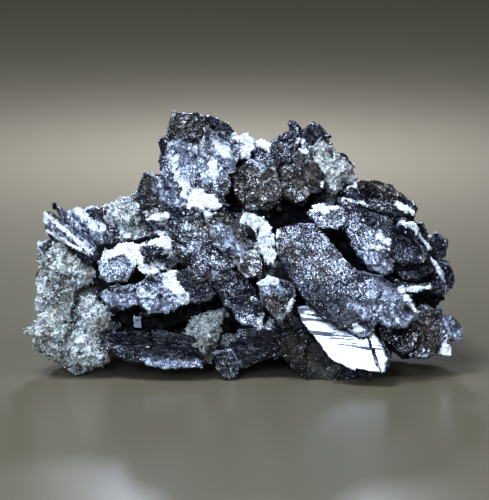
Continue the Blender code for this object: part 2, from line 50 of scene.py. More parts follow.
SHEET_ORIGIN = (0.0, -20.018, 2.02)  # where the sheet's own origin lies in the part's frame
RIM = 0.24  # depth of the bevel round a blade's face
GRID_STEP = 0.6  # between the points of the grid that tells open places from hollows
SMALL = 3.2  # a blade whose mean radius is under this has a finer rim
GOLDEN = math.radians(137.5)
BLADE_SPACING = 0.19  # between the points of a blade's surface
ROCK_SPACING = 0.3  # between the points of a lump's surface
CORE_SPACING = 1.0  # the same for the first lump, which is nearly all inside the others
FINE_WALL = 2.2  # how far down a blade's sides the points stay close together
FEELER = 1.3  # how far in front of a surface the crowding is felt
BURIED = 0.25  # a spot this far inside another solid grows nothing
AXE = ((-1.0, -0.35), (-0.5, -0.95), (0.7, -0.8), (1.0, 0.15), (0.45, 1.0), (-0.75, 0.7))
GROWTH = (0.8, -0.6, 0.1)  # the way that most of the young blades lie
YOUNG_LIMIT = 2.0  # the longest young blade
DUST_SIZE, ROCK_GRAIN_SIZE, CRUMB_SIZE = 0.15, 0.17, 0.6  # middling half lengths of the small crystals
YOUNG_SEED, CRUMB_SEED, ROCK_GRAIN_SEED = 20, 70, 50  # each is added to the length of a piece's name
CORNERS = np.array([(a, b, c) for a in (0, 1) for b in (0, 1) for c in (0, 1)])


# ---------------------------------------------------------------- the layout


def blade(outline, depth, yaw=0, pitch=0, thick=4, taper=0.85, **finish):
    """A blade drawn on the sheet. Yaw turns its face to the right, pitch turns it upwards."""
    flat = np.array(outline, float)
    slope = np.tan(np.radians([yaw, pitch]))
    depths = depth + (flat - flat.mean(0)) @ slope
    inward = np.append(-slope, 1.0) / math.hypot(1.0, *slope)
    face = np.column_stack([flat, depths])
    return {"face": face, "inward": inward, "thick": thick, "taper": taper, **finish}


def habit(centre, length, width, thick, turn, rise=0, roll=0, taper=0.9, **finish):
    """A blade of the species' common form, facing turn degrees round from the sheet's front."""
    a, e, r = np.radians([turn, rise, roll])
    outward = np.array([math.sin(a) * math.cos(e), math.sin(e), -math.cos(a) * math.cos(e)])
    across = np.array([math.cos(a), 0.0, math.sin(a)])
    upward = np.cross(across, outward) * -1
    along = across * math.cos(r) + upward * math.sin(r)
    beside = upward * math.cos(r) - across * math.sin(r)
    corners = np.array(AXE) * (length / 2, width / 2)
    face = np.array(centre, float) + corners[:, :1] * along + corners[:, 1:] * beside
    return {"face": face, "inward": -outward, "thick": thick, "taper": taper, **finish}


# A blade's finish, and the value of each part where a blade doesn't give its own. The dusting, whose
# pale specks are partly painted glints, and the painted highlight along the rim have none, since every
# group gives them, and steps_turn, the way that the ledges run, is by chance.
PLAIN = {
    "steps": 0.16,  # height of the low ledges across the face, in mm
    "tread": 1.7,  # from one ledge to the next, in mm
    "stripes": 0.0,  # height of the grooves along a striated face, in mm
    "sunk": 0.0,  # how far the face is set back, in mm
    "grit": 1.0,  # strength of the flat grains on the face
    "ragged": 1.0,  # strength of the chips and leaves at the edge
    "bare": 1.75,  # how rare stray patches of crust are
    "scaly": 1.0,  # how thickly young blades grow on it
    "brown": 0.0,  # more brown, or less
    "shade": 0.0,  # at least this much hollow, which the finishes darken as painted shade
    "gleam": 0.0,  # 1 for a glossy face like a mirror, whose colour is a painted reflection
    "smooth": False,  # shaded as one smooth surface
    "deep": False,  # at the bottom of a cleft, in the axinite painted almost black as shade
}
SHINGLED = {"steps": 0.28, "steps_turn": 0.95, "tread": 1.3}  # low ledges that run down to the right
FIBROUS = {"steps": 0.3, "steps_turn": 1.5, "tread": 0.75}  # thin leaves, one on another
STREAKED = {"steps": 0.08, "steps_turn": 0.95, "tread": 2.4}  # a broad face with hardly any ledges

# The left-hand peak, its shoulder and the ledge under them.
LEFT_PEAK = (
    blade([(-12.2, 44.8), (-6.5, 43.8), (-5.8, 41.0), (-10.2, 39.2), (-13.4, 40.6)],
          14.2, -12, 12, 9, dust=-0.25, ragged=0.4, grit=0.5),
    blade([(-6.9, 44.2), (-4.6, 43.6), (-2.3, 42.2), (-0.7, 40.3), (-1.3, 37.6), (-5.6, 39.6)],
          15, 28, 28, 8, dust=0.25, brown=-0.3),
    blade([(-14.5, 39.7), (-12.4, 40.8), (-11.2, 36.3), (-12.3, 32.6), (-14.3, 34.6)], 13.5, -28, 4, 8),
    blade([(-13.0, 39.5), (-8.6, 41.0), (-5.6, 38.0), (-6.6, 34.0), (-11.8, 34.6), (-13.2, 36.8)],
          11.8, -8, 12, 9, dust=0.25),
    blade([(-6.8, 41.8), (-2.8, 40.8), (-0.8, 37.8), (-1.6, 34.2), (-5.0, 33.6), (-7.4, 37.6)],
          11.6, 14, 18, 9, dust=0.35, bare=1.3),
    blade([(-12.8, 36.4), (-8.4, 37.0), (-7.2, 32.6), (-9.2, 28.9), (-12.6, 32.0)],
          10.6, -14, 10, 8, dust=0.25, bare=1.4),
    blade([(-8.4, 37.2), (-3.4, 35.8), (-2.2, 32.0), (-3.8, 29.4), (-8.0, 29.6), (-9.2, 33.4)],
          10.0, 4, 16, 9, dust=0.1, grit=0.6),
    blade([(-9.4, 31.2), (-3.6, 30.8), (-2.9, 28.8), (-6.5, 27.6), (-9.6, 28.2)], 8.6, 0, 38, 5, bare=0.2),
    blade([(-16.8, 34.4), (-14.1, 33.4), (-13.2, 29.6), (-14.2, 27.0), (-17.5, 27.2), (-18.8, 29.9)],
          12, -22, 4, 9, dust=-0.1),
    blade([(-14.4, 33.6), (-11.2, 32.2), (-9.0, 28.8), (-10.4, 26.0), (-14.3, 26.8)],
          10.2, 10, 14, 8, dust=0.15),
    blade([(-17.6, 27.8), (-14.2, 28.4), (-10.8, 26.4), (-7.4, 23.7), (-9.3, 22.2), (-14.4, 23.6)],
          9.6, -4, 8, 7),
    blade([(-13.8, 34.6), (-12.2, 35.8), (-11.2, 33.8), (-12.4, 32.6), (-14.2, 33.0)], 12.2, -10, 20, 5),
)

# The right-hand peak: two points, a rounded brown blade and the slab that leads up to it.
RIGHT_PEAK = (
    blade([(5.6, 35.2), (8.1, 35.9), (10.0, 34.9), (10.9, 32.0), (9.8, 29.7), (8.4, 29.1), (6.2, 30.3)],
          11.4, -4, 12, 7, brown=0.6, dust=0.1),
    blade([(9.6, 35.8), (11.8, 36.2), (13.5, 33.8), (12.9, 31.0), (10.6, 30.8)],
          11.6, 16, 16, 6, grit=0.15, ragged=0.4, dust=-0.35, scaly=0, brown=0.2),
    blade([(7.6, 37.0), (9.1, 38.3), (11.4, 37.8), (12.0, 35.6), (9.0, 35.0)],
          12.8, 0, 26, 8, brown=0.6, dust=0.0, grit=0.6),
    blade([(3.7, 38.6), (5.2, 40.3), (7.1, 41.3), (8.7, 39.8), (8.3, 36.4), (5.0, 35.2)],
          14.6, -8, 14, 8, brown=-0.4, dust=0.05),
    blade([(7.5, 43.3), (8.7, 42.8), (9.6, 41.2), (9.1, 38.9), (7.2, 39.8)],
          16.2, -14, 8, 5, brown=-1, dust=-0.2, grit=0.4, ragged=0.6),
    blade([(9.2, 41.2), (11.4, 42.8), (12.6, 42.6), (13.8, 41.4), (14.8, 38.2), (12.8, 37.4), (9.4, 38.4)],
          16.6, 10, 14, 7, brown=-1, dust=0.0, grit=0.5),
    blade([(13.6, 39.4), (15.0, 38.4), (17.0, 37.2), (18.2, 34.4), (18.8, 33.1), (15.6, 31.8), (13.4, 34.9)],
          16.2, 30, 18, 5, bare=0.5, dust=0.3),
    blade([(-2.3, 34.4), (0.8, 36.7), (5.2, 35.1), (6.3, 31.4),
           (5.7, 29.7), (2.8, 28.6), (0.2, 28.4), (-1.6, 30.4)],
          11.0, -6, 26, 8, brown=0.6, dust=0.12, grit=0.6),
    blade([(1.1, 38.2), (4.2, 39.4), (6.4, 37.8), (5.6, 34.8), (2.0, 34.9)],
          14.4, 6, 24, 8, brown=0.2, dust=0.1),
    blade([(-1.6, 39.8), (0.3, 41.1), (1.6, 39.8), (0.9, 36.8), (-1.0, 36.4)],
          14.4, 10, 20, 6, bare=-1, grit=0.4),
    blade([(1.7, 39.4), (2.8, 40.1), (4.1, 39.3), (3.5, 37.8), (2.1, 37.7)],
          16.4, 0, 20, 5, bare=-1, grit=0.4),
)

# The slab across the middle, the spear below it and the floor of the clefts, painted dark as shade.
MIDDLE = (
    blade([(-7.0, 27.8), (0.8, 27.3), (3.7, 26.0), (4.7, 23.0),
           (4.8, 19.7), (2.6, 17.5), (-0.8, 18.4), (-5.0, 22.2)],
          6.6, 6, 18, 6),
    blade([(0.4, 27.2), (2.7, 26.9), (4.3, 25.1), (5.1, 22.2), (4.9, 19.2), (3.4, 18.8), (2.2, 23.0)],
          6.0, 28, 26, 4),
    blade([(-0.9, 21.0), (1.7, 21.6), (3.0, 19.7), (2.8, 17.1), (0.2, 16.7), (-1.3, 18.2)],
          5.2, -4, 10, 4, scaly=0.1, grit=0.25, ragged=0.4, dust=-0.2, brown=1),
    blade([(-12.6, 26.0), (-6.8, 27.8), (-3.2, 23.8), (-1.0, 19.2),
           (-3.6, 17.4), (-7.6, 20.0), (-11.4, 23.0)],
          7.4, -6, 16, 7, brown=0.4),
    blade([(-12.9, 23.4), (-7.4, 20.6), (-3.6, 17.4), (-2.6, 13.2),
           (-5.2, 15.0), (-9.3, 18.2), (-12.7, 21.0)],
          6.6, 12, 0, 6, brown=0.4),
    blade([(-5.4, 18.0), (-0.8, 17.8), (1.8, 14.7), (3.2, 11.0),
           (2.8, 8.2), (-0.3, 8.6), (-3.2, 12.2), (-5.6, 15.6)],
          6.4, 5, -6, 7, dust=-0.02),
    blade([(2.1, 15.8), (3.9, 17.1), (8.6, 15.9), (8.2, 13.0), (6.0, 9.3), (2.8, 12.2)],
          4.6, 6, 4, 5, brown=0.3, dust=0.15, ragged=0.4, grit=0.5, rim=0.4),
    blade([(2.0, 19.6), (5.4, 19.6), (8.6, 15.8), (6.4, 13.6), (2.2, 15.8)], 6.8, 4, -10, 5, dust=-0.1),
    blade([(-14, 24), (0, 29), (14, 28), (27, 23), (30, 12), (20, 6), (6, 6), (-4, 8), (-13, 15)],
          12.4, 0, 14, 6, 0.8, deep=True),
    blade([(-14, 34), (-6, 41), (6, 37), (12, 38), (13, 32), (10, 26), (-8, 27)],
          16.4, 0, 10, 6, 0.8, deep=True),
    blade([(5.0, 13.2), (8.6, 12.2), (10.8, 7.2), (9.0, 4.4), (5.4, 5.4), (2.8, 7.4)],
          8.0, -6, -6, 7, dust=-0.15),
    blade([(-1.2, 8.2), (3.0, 8.6), (7.6, 7.4), (6.6, 5.0), (2.0, 4.6), (-1.4, 5.6)],
          7.8, -4, -22, 9, dust=-0.1),
    blade([(-2.6, 5.6), (3.2, 5.2), (6.8, 5.4), (6.4, 4.2), (3.7, 3.5), (2.0, 3.0), (0.5, 2.3), (-1.8, 2.4)],
          8.6, 4, -14, 9, dust=-0.1),
)

# The broad blade with its layers, the striated blade below it and the dark block under both.
FRONT = (
    blade([(5.3, 24.9), (8.4, 26.0), (11.6, 25.9), (16.9, 19.4), (22.4, 14.6), (21.0, 10.2),
           (18.0, 8.8), (15.2, 8.7), (11.7, 11.2), (9.1, 14.2), (6.2, 18.4), (5.1, 21.4)],
          4.6, 4, 22, 3.6, scaly=0.06, rim=0, ragged=0.5, dust=0.1, **STREAKED),
    blade([(16.6, 18.4), (22.5, 17.2), (26.6, 14.6), (28.3, 12.1), (28.4, 10.6),
           (26.3, 8.8), (24.2, 8.6), (21.0, 9.8), (17.6, 13.0)],
          4.5, 14, 20, 3.0, scaly=0.5),
    blade([(15.6, 10.2), (17.6, 13.2), (21.2, 12.2), (21.7, 9.3), (20.3, 7.4), (18.7, 7.2), (16.8, 8.2)],
          2.6, 6, 22, 2.6),
    blade([(20.6, 13.4), (26.0, 13.6), (28.4, 11.0), (26.4, 8.7), (24.3, 8.6), (21.4, 10.0)],
          3.6, 12, 16, 2.4),
    blade([(8.4, 12.2), (14.2, 13.0), (20.2, 9.0), (22.3, 6.3), (23.4, 3.6), (22.8, 1.4),
           (21.0, 1.3), (16.7, 2.1), (14.1, 3.4), (11.6, 6.8), (9.2, 9.6)],
          4.2, -8, 6, 4.8, gleam=1, grit=0, steps=0, smooth=True, bare=9, dust=-1, brown=-2,
          stripes=0.012, scaly=0),
    blade([(19.6, 8.6), (22.0, 7.0), (23.9, 4.3), (23.6, 2.1), (22.4, 1.3), (21.2, 3.4)],
          4.0, 40, 26, 5.2, dust=0.35),
    blade([(6.0, 6.6), (9.4, 8.2), (15.0, 3.8), (21.4, 1.6), (20.3, 0.5),
           (17.3, -0.4), (14.7, -1.2), (10.5, -0.8), (8.1, 1.7), (5.8, 3.9)],
          8.4, 0, -16, 10, 0.8, dust=0.2, brown=-0.3, rim=0.1, shade=0.25, steps=0, grit=0.7),
    blade([(8.0, 11.0), (10.2, 9.6), (14.6, 3.6), (21.2, 1.6), (16.0, -0.2), (11.0, 0.6), (8.6, 5.0)],
          8.4, -8, -10, 6, dust=0.2, brown=-0.3, rim=0.1, shade=0.25, steps=0, grit=0.5, sunk=0.9),
    blade([(22.0, 10.6), (25.2, 9.2), (26.8, 8.0), (25.4, 6.0), (22.4, 6.4)], 9.6, 0, 0, 6, dust=-0.5),
)

# The blades that overlap like tiles down the right-hand side, and the knots at their edge.
TILES = (
    blade([(16.0, 31.2), (19.2, 33.1), (21.9, 33.2), (24.3, 32.2), (26.8, 30.4),
           (28.8, 28.4), (28.2, 27.3), (24.6, 27.1), (20.0, 28.6)],
          11.0, 12, 40, 3.4, dust=-0.15, ragged=0.5, rim=0, **SHINGLED),
    blade([(21.0, 29.4), (24.8, 27.6), (28.7, 28.3), (28.3, 25.8), (25.0, 25.0), (21.2, 26.0)],
          11.8, 10, -8, 6, dust=-0.4, **SHINGLED),
    blade([(15.2, 30.2), (20.2, 30.0), (25.0, 27.6), (24.8, 25.6), (20.8, 25.8), (16.5, 27.8)],
          9.6, 6, 32, 4, **SHINGLED),
    blade([(10.2, 27.6), (12.8, 29.3), (16.0, 28.8), (16.9, 26.3), (15.4, 24.7), (12.0, 25.2)],
          7.6, -4, 22, 5, dust=0.3, bare=1.2),
    blade([(15.0, 28.4), (20.2, 28.2), (24.6, 25.8), (24.2, 23.5), (19.2, 23.8), (15.8, 24.9)],
          8.3, 6, 26, 4, dust=0.05, **SHINGLED),
    blade([(16.2, 25.0), (20.8, 25.2), (23.9, 23.8), (23.9, 21.6), (20.2, 21.1), (17.6, 22.4)],
          7.2, 4, 20, 3, dust=0.12, **SHINGLED),
    blade([(23.4, 25.5), (26.8, 25.9), (30.6, 22.1), (30.8, 20.3), (28.8, 19.1), (25.4, 19.2), (23.6, 21.0)],
          7.6, 14, 20, 3.4, dust=0.15, rim=0, **SHINGLED),
    blade([(17.2, 22.4), (20.2, 21.4), (23.9, 21.4), (24.6, 18.3), (23.3, 16.9), (20.4, 18.2)],
          6.5, 2, 14, 3.4, dust=0.05, **SHINGLED),
    blade([(23.7, 20.4), (25.8, 20.4), (31.0, 20.0), (31.3, 17.7), (28.3, 16.4), (25.4, 16.7)],
          8.6, 6, 34, 3.6, dust=-0.1, rim=0, **SHINGLED),
    blade([(23.7, 16.9), (27.5, 15.5), (32.0, 16.2), (32.3, 15.1), (27.5, 14.2), (24.8, 15.0)],
          7.2, 0, 0, 9, 0.95, dust=0.1, brown=-1),
    blade([(26.6, 25.6), (27.9, 25.9), (31.0, 22.0), (33.4, 16.2), (32.2, 15.6), (29.7, 20.6)],
          8.2, 48, 6, 7, rim=0.6),
    blade([(30.1, 23.0), (31.5, 24.4), (33.9, 23.1), (33.5, 20.2), (31.5, 19.2), (30.4, 20.7)],
          11.0, 18, 8, 6),
    blade([(31.8, 19.5), (33.5, 19.4), (35.1, 16.3), (34.5, 14.9), (32.8, 15.3)], 11.0, 24, 4, 4),
    blade([(30.5, 15.9), (32.7, 16.3), (33.8, 14.7), (33.2, 13.8), (31.0, 14.2)], 8.8, 10, -8, 6),
    blade([(16, 32), (24, 31), (31, 24), (32, 17), (28, 14.5), (20, 18), (14, 26)],
          13.6, 8, 14, 5, 0.8, deep=True),
    blade([(27.3, 11.0), (29.3, 12.4), (32.5, 11.4), (32.9, 7.2), (32.2, 5.2),
           (31.3, 3.8), (29.8, 3.2), (27.4, 3.7), (26.2, 5.5), (26.4, 8.8)],
          8.8, 8, 4, 9, grit=0.6, dust=0.35, brown=0.2, rim=0.3),
    blade([(22.6, 6.8), (25.8, 8.1), (28.6, 8.0), (28.7, 5.3), (25.7, 4.2)], 7.8, -6, 12, 8, dust=0.1),
    blade([(32.5, 10.4), (34.5, 10.5), (35.9, 8.9), (36.1, 7.0), (35.0, 6.1), (32.4, 7.0)], 10.2, 14, 6, 6),
    blade([(32.0, 6.9), (34.1, 5.8), (34.3, 4.0), (32.3, 4.0)], 9.8, 6, 2, 5, bare=-0.6),
    blade([(20, 14), (30, 14), (33, 9), (30, 4.5), (24, 5), (20, 8)], 13.4, 6, 0, 7, 0.8, deep=True),
)

# The stubby crystals that stand proud on the left of the middle, and the leaves under them.
BLOCKS = (
    blade([(-24.2, 19.4), (-22.8, 21.2), (-18.7, 21.2), (-17.7, 19.3),
           (-19.4, 16.2), (-22.2, 15.9), (-23.9, 16.8)],
          4.6, -10, 6, 7),
    blade([(-22.9, 20.8), (-20.8, 22.5), (-18.4, 22.6), (-17.4, 20.4), (-18.9, 19.2)],
          5.6, 0, 48, 5, bare=1.0),
    blade([(-19.3, 22.2), (-17.6, 22.2), (-14.7, 18.0), (-15.8, 17.1), (-17.6, 18.2)],
          4.4, -24, 10, 6, bare=0.4),
    blade([(-17.6, 22.2), (-13.2, 23.9), (-11.4, 22.2), (-10.8, 19.3), (-12.2, 17.9), (-14.9, 18.2)],
          6.2, 6, 12, 7, dust=-0.25),
    blade([(-17.4, 21.8), (-13.3, 23.9), (-11.5, 22.4), (-12.4, 21.4), (-16.4, 20.4)],
          5.2, 6, 44, 4, bare=0.9),
    blade([(-24.1, 14.4), (-22.2, 15.4), (-18.2, 15.7), (-17.7, 13.0), (-19.2, 11.6), (-22.3, 11.6)],
          4.2, -6, 12, 7),
    blade([(-18.1, 15.6), (-15.8, 17.4), (-12.4, 17.8), (-10.6, 16.0), (-9.8, 14.2), (-17.6, 13.4)],
          3.8, 2, 30, 7, dust=0.0),
    blade([(-17.8, 13.4), (-15.8, 14.8), (-11.4, 15.2), (-9.6, 13.0), (-11.3, 11.6), (-15.8, 10.8)],
          3.0, 4, 4, 7),
    blade([(-12.6, 17.8), (-9.2, 18.4), (-6.5, 16.4), (-4.6, 14.0),
           (-6.5, 12.9), (-9.8, 12.8), (-11.7, 15.2)],
          4.6, 8, 12, 6),
    blade([(-25, 22), (-12, 24), (-6, 17), (-7, 11), (-14, 8), (-24, 10)], 9.4, 0, 4, 6, 0.85, deep=True),
    blade([(-18.4, 10.4), (-17.1, 10.5), (-17.1, 8.6), (-18.3, 8.6)],
          6.6, 8, 16, 5, gleam=0.6, rim=0, grit=0.1),
    blade([(-23.6, 7.4), (-15.8, 8.2), (-8.2, 6.9), (-7.4, 4.8), (-15.8, 4.2), (-22.9, 4.8)],
          8.0, 2, -12, 8, dust=0.4, rim=0.2, brown=0.6, **FIBROUS),
    blade([(-22.6, 5.2), (-14.2, 6.0), (-7.4, 5.2), (-6.8, 3.2), (-12.5, 2.4), (-20.2, 3.0)],
          7.5, 2, -8, 8, dust=0.42, rim=0.2, brown=0.6, **FIBROUS),
    blade([(-17.6, 3.5), (-12.5, 4.2), (-6.9, 3.4), (-7.1, 1.9), (-12.4, 1.7), (-16.4, 2.2)],
          7.1, 2, -4, 8, dust=0.4, rim=0.3, **FIBROUS),
    blade([(-5.8, 4.6), (-2.2, 5.0), (-0.5, 2.8), (-1.2, 0.2), (-2.2, -0.3), (-3.2, -0.1), (-4.6, 1.7)],
          8.2, 6, -8, 6, dust=0.1),
)

# The spray of thin blades at the upper left and the brown spike under it.
SPRAY = (
    blade([(-33.6, 27.6), (-32.4, 27.8), (-29.2, 25.4), (-23.4, 20.4),
           (-24.6, 19.6), (-29.3, 22.2), (-33.7, 26.0)],
          9.4, -18, 12, 5),
    blade([(-31.9, 28.7), (-30.4, 28.3), (-27.3, 25.4), (-24.2, 21.4), (-25.8, 20.8), (-29.9, 24.8)],
          10.8, -14, 10, 5),
    blade([(-29.9, 28.1), (-27.7, 28.4), (-24.6, 25.4), (-22.6, 21.4), (-24.6, 21.1), (-27.9, 25.2)],
          11.8, -8, 12, 5),
    blade([(-27.8, 28.1), (-25.8, 28.7), (-23.3, 25.4), (-21.3, 21.4), (-23.3, 20.9), (-25.7, 24.2)],
          12.2, -4, 12, 6),
    blade([(-25.9, 28.9), (-22.7, 28.1), (-20.3, 25.6), (-19.7, 22.9), (-21.9, 21.2), (-24.3, 24.6)],
          13.0, 2, 12, 6),
    blade([(-33.4, 25.6), (-29.0, 23.0), (-24.4, 19.8), (-25.4, 18.6), (-30.0, 20.6), (-33.2, 24.0)],
          10.6, -22, -14, 6),
    blade([(-34.8, 21.9), (-32.8, 23.3), (-30.4, 23.0), (-27.4, 21.0), (-29.2, 19.2), (-33.5, 19.9)],
          11.2, -8, 14, 5),
    blade([(-31.0, 25.0), (-26.0, 27.0), (-21.0, 25.6), (-21.2, 21.6), (-25.6, 19.8), (-29.6, 22.0)],
          14.0, -4, 8, 6, 0.8, deep=True),
)

# The blades on the sides and the back, of the species' common form: each row of them lies like
# tiles on the row below.
BACK = (
    habit((-7.5, 38.5, 22.0), 12, 8, 5, turn=165, rise=30, roll=60),
    habit((-3.0, 33.5, 25.5), 13, 8, 5, turn=200, rise=48, roll=10),
    habit((-13.5, 33.0, 20.0), 11, 8, 5, turn=-105, rise=15, roll=75),
    habit((4.0, 35.5, 24.0), 11, 8, 5, turn=170, rise=40, roll=-25),
    habit((11.0, 36.5, 22.5), 11, 7, 5, turn=150, rise=25, roll=65),
    habit((9.0, 30.0, 28.0), 14, 7, 4.5, turn=185, rise=55, roll=8),
    habit((21.5, 28.6, 21.5), 13, 8, 4.5, turn=140, rise=50, roll=-25),
    habit((24.5, 24.0, 27.0), 13, 7, 4.5, turn=155, rise=50, roll=-30),
    habit((30.5, 21.0, 18.0), 11, 8, 4.5, turn=105, rise=12, roll=50),
    habit((31.5, 14.0, 18.5), 13, 8, 4.5, turn=110, rise=-4, roll=25),
    habit((17.5, 21.5, 30.0), 13, 7, 4.5, turn=176, rise=46, roll=20),
    habit((28.0, 14.5, 25.5), 13, 8, 4.5, turn=140, rise=22, roll=-15),
    habit((31.5, 7.5, 17.5), 9, 7, 4.5, turn=100, rise=-8, roll=60),
    habit((-16.5, 26.0, 23.5), 12, 7, 4.5, turn=-150, rise=45, roll=-40),
    habit((1.0, 26.8, 29.5), 13, 6.5, 4.5, turn=190, rise=52, roll=-10),
    habit((-7.0, 23.6, 29.5), 11, 6, 4.5, turn=172, rise=44, roll=12),
    habit((-13.5, 20.4, 28.0), 9, 6, 4.5, turn=-160, rise=38, roll=-18),
)

# The rock's lumps: the middle and the half lengths of each, along x, v and w.
LUMPS = (
    ((0, 16, 21.5), (25, 12, 8.5)),
    ((-31.0, 8.0, 11.5), (5.3, 4.9, 6)),
    ((-27.0, 5.0, 13.5), (5.4, 4.8, 7)),
    ((-31.0, 13.0, 13), (4.2, 4.6, 6)),
    ((-24.5, 9.6, 12.5), (5.0, 4.8, 6)),
    ((-29.3, 17.5, 14.5), (6.2, 6.4, 7)),
    ((-32.4, 20.6, 14), (2.6, 2.4, 3.5)),
    ((-6.4, 7.4, 12.5), (5.0, 5.4, 5.6)),
    ((-8.0, 6.5, 20.5), (7.0, 5.5, 6)),
    ((-20.5, 27.0, 17), (5.4, 2.9, 6)),
    ((-15.4, 29.8, 18), (3.6, 3.4, 5)),
    ((-25.0, 24.5, 17.5), (6.5, 4.4, 6)),
    ((14.2, 35.2, 16.4), (4.0, 4.4, 5.4)),
    ((16.2, 30.0, 21.5), (4.6, 6.0, 4.6)),
    ((23, 21, 20.5), (9, 9, 6.5)),
    ((25, 10, 20), (9, 7, 7)),
    ((-24, 14, 21), (8, 9, 8)),
    ((-17, 8, 26.5), (9, 8, 7.5)),
    ((-5.5, 9.5, 28.5), (8, 9.5, 6.5)),
    ((5.5, 8, 28.5), (8.5, 8, 7)),
    ((16, 10, 27.5), (8.5, 8, 7)),
    ((-1.8, 4.8, 14), (3.8, 3.6, 5)),
    ((-28.0, 12.0, 15), (5.0, 5.0, 6)),
    ((6, 18.5, 29), (8, 6, 5.5)),
    ((-16, 18.5, 26), (7, 6, 5.5)),
    ((-8, 29, 24.5), (7, 6, 5)),
    ((-18, 23.5, 17), (5, 4, 5)),
    ((20, 15.5, 26), (7, 6, 6)),
    ((15, 26, 23), (5, 6, 5)),
    ((12, 15, 26.5), (6, 6, 5.5)),
)
LUMP_POINTS = 20  # of each lump's hull
LUMP_SEED = 5
FRONT_DEPTH = 20.0  # the strips below lie on the front, no deeper behind the sheet than this

# Strips of white crust on the front: where each runs from and to on the sheet, and its half width.
CRUST = (
    ((-23.0, 20.1), (-18.5, 22.1), 0.8),
    ((-18.5, 22.1), (-12.6, 23.1), 1.1),
    ((-18.5, 21.4), (-16.0, 17.7), 1.2),
    ((-13.5, 23.1), (-12.3, 21.1), 0.9),
    ((-14.6, 18.4), (-12.3, 17.6), 0.9),
    ((-12.3, 15.9), (-10.1, 13.5), 1.0),
    ((-15.8, 26.6), (-13.2, 26.9), 0.5),
    ((-11.6, 36.4), (-11.2, 33.2), 0.5),
    ((-4.6, 39.2), (-3.4, 37.8), 0.9),
    ((-5.8, 36.4), (-5.0, 33.6), 0.7),
    ((-10.6, 32.4), (-8.4, 30.2), 0.6),
    ((-9.0, 30.8), (-4.8, 28.6), 1.3),
    ((-7.8, 29.2), (-6.4, 27.6), 1.2),
    ((-1.8, 40.4), (0.8, 40.6), 0.7),
    ((0.9, 40.3), (-0.2, 37.2), 0.6),
    ((2.2, 39.6), (3.6, 38.9), 0.8),
    ((0.4, 27.0), (2.2, 25.4), 1.4),
    ((2.2, 25.4), (4.0, 22.6), 1.8),
    ((4.0, 22.6), (4.7, 19.8), 1.0),
    ((9.2, 39.2), (10.2, 38.2), 0.8),
    ((11.2, 38.2), (13.2, 37.4), 0.8),
    ((12.6, 37.4), (16.6, 34.2), 1.0),
    ((16.4, 34.4), (18.4, 32.4), 0.8),
    ((13.2, 32.2), (18.4, 31.8), 0.6),
    ((11.2, 28.6), (14.4, 28.2), 0.8),
    ((16.4, 29.8), (20.2, 28.8), 0.4),
    ((25.4, 29.0), (27.8, 27.6), 0.5),
    ((26.0, 26.0), (28.0, 24.6), 0.6),
    ((28.0, 24.8), (30.6, 21.6), 0.25),
    ((30.8, 20.0), (33.0, 16.2), 0.3),
    ((22.2, 23.6), (23.6, 22.6), 0.6),
    ((20.2, 21.9), (23.6, 21.5), 0.3),
    ((25.6, 14.9), (30.4, 15.2), 0.4),
    ((33.2, 6.4), (33.4, 4.6), 0.9),
    ((26.4, 13.2), (28.0, 11.2), 0.5),
    ((2.6, 16.2), (4.6, 16.6), 0.8),
    ((7.6, 13.0), (7.4, 10.4), 0.5),
    ((2.8, 10.0), (4.0, 8.4), 0.8),
    ((18.2, 8.8), (19.6, 8.2), 0.5),
    ((-33.4, 27.4), (-25.0, 20.6), 0.4),
    ((-27.8, 27.8), (-24.6, 25.0), 0.8),
    ((-23.2, 30.2), (-18.6, 28.6), 1.0),
    ((-33.0, 24.6), (-27.0, 21.2), 0.3),
    ((-20.8, 25.4), (-19.4, 21.6), 0.4),
)

# Where a soft blue-white sheen is painted on the front, laid out as the crust is.
PAINTED_SHEEN_STRIPS = (
    ((-23.3, 18.1), (-19.3, 18.4), 1.8),
    ((-23.0, 13.0), (-18.5, 13.4), 1.5),
    ((-17.1, 12.7), (-11.0, 13.5), 2.0),
    ((-14.3, 14.9), (-13.3, 15.4), 1.6),
    ((21.2, 14.7), (25.0, 13.0), 2.2),
    ((21.7, 11.0), (25.8, 10.0), 2.0),
    ((17.5, 12.2), (20.0, 10.5), 1.2),
    ((-11.0, 38.1), (-7.6, 35.6), 2.6),
    ((-9.3, 33.9), (-3.4, 35.6), 2.6),
    ((-5.1, 39.0), (-1.8, 36.5), 2.0),
    ((-32.7, 26.1), (-25.2, 22.2), 1.6),
    ((-29.3, 27.3), (-24.3, 23.1), 2.0),
    ((-4.6, 24.7), (-0.9, 21.4), 1.6),
    ((33.4, 9.7), (35.5, 7.2), 1.6),
    ((-13.9, 31.4), (-10.8, 29.8), 2.0),
    ((2.8, 15.6), (5.8, 14.7), 1.3),
    ((19.6, 21.1), (23.5, 17.7), 1.6),
    ((-16.8, 3.0), (-7.6, 2.2), 1.2),
)

# Where the front is bare, dark and glossy, laid out as the crust is.
BARE = (
    ((-12.3, 43.1), (-7.6, 41.8), 2.4),
    ((20.8, 31.4), (27.8, 29.8), 1.8),
    ((23.3, 17.2), (30.9, 18.4), 2.0),
    ((7.4, 7.2), (17.5, 0.5), 4.0),
    ((11.6, 13.9), (17.5, 10.5), 2.2),
    ((-21.8, 8.0), (-7.6, 5.5), 3.0),
    ((5.8, 33.9), (10.8, 30.6), 2.6),
    ((25.8, 11.4), (31.7, 4.7), 3.0),
    ((9.1, 40.6), (13.3, 41.5), 2.2),
    ((-3.4, 28.9), (9.1, 27.3), 2.5),
    ((-16.0, 29.8), (-14.3, 24.7), 2.0),
    ((1.6, 31.4), (7.4, 28.9), 2.0),
    ((0.0, 21.4), (2.8, 18.0), 2.4),
)
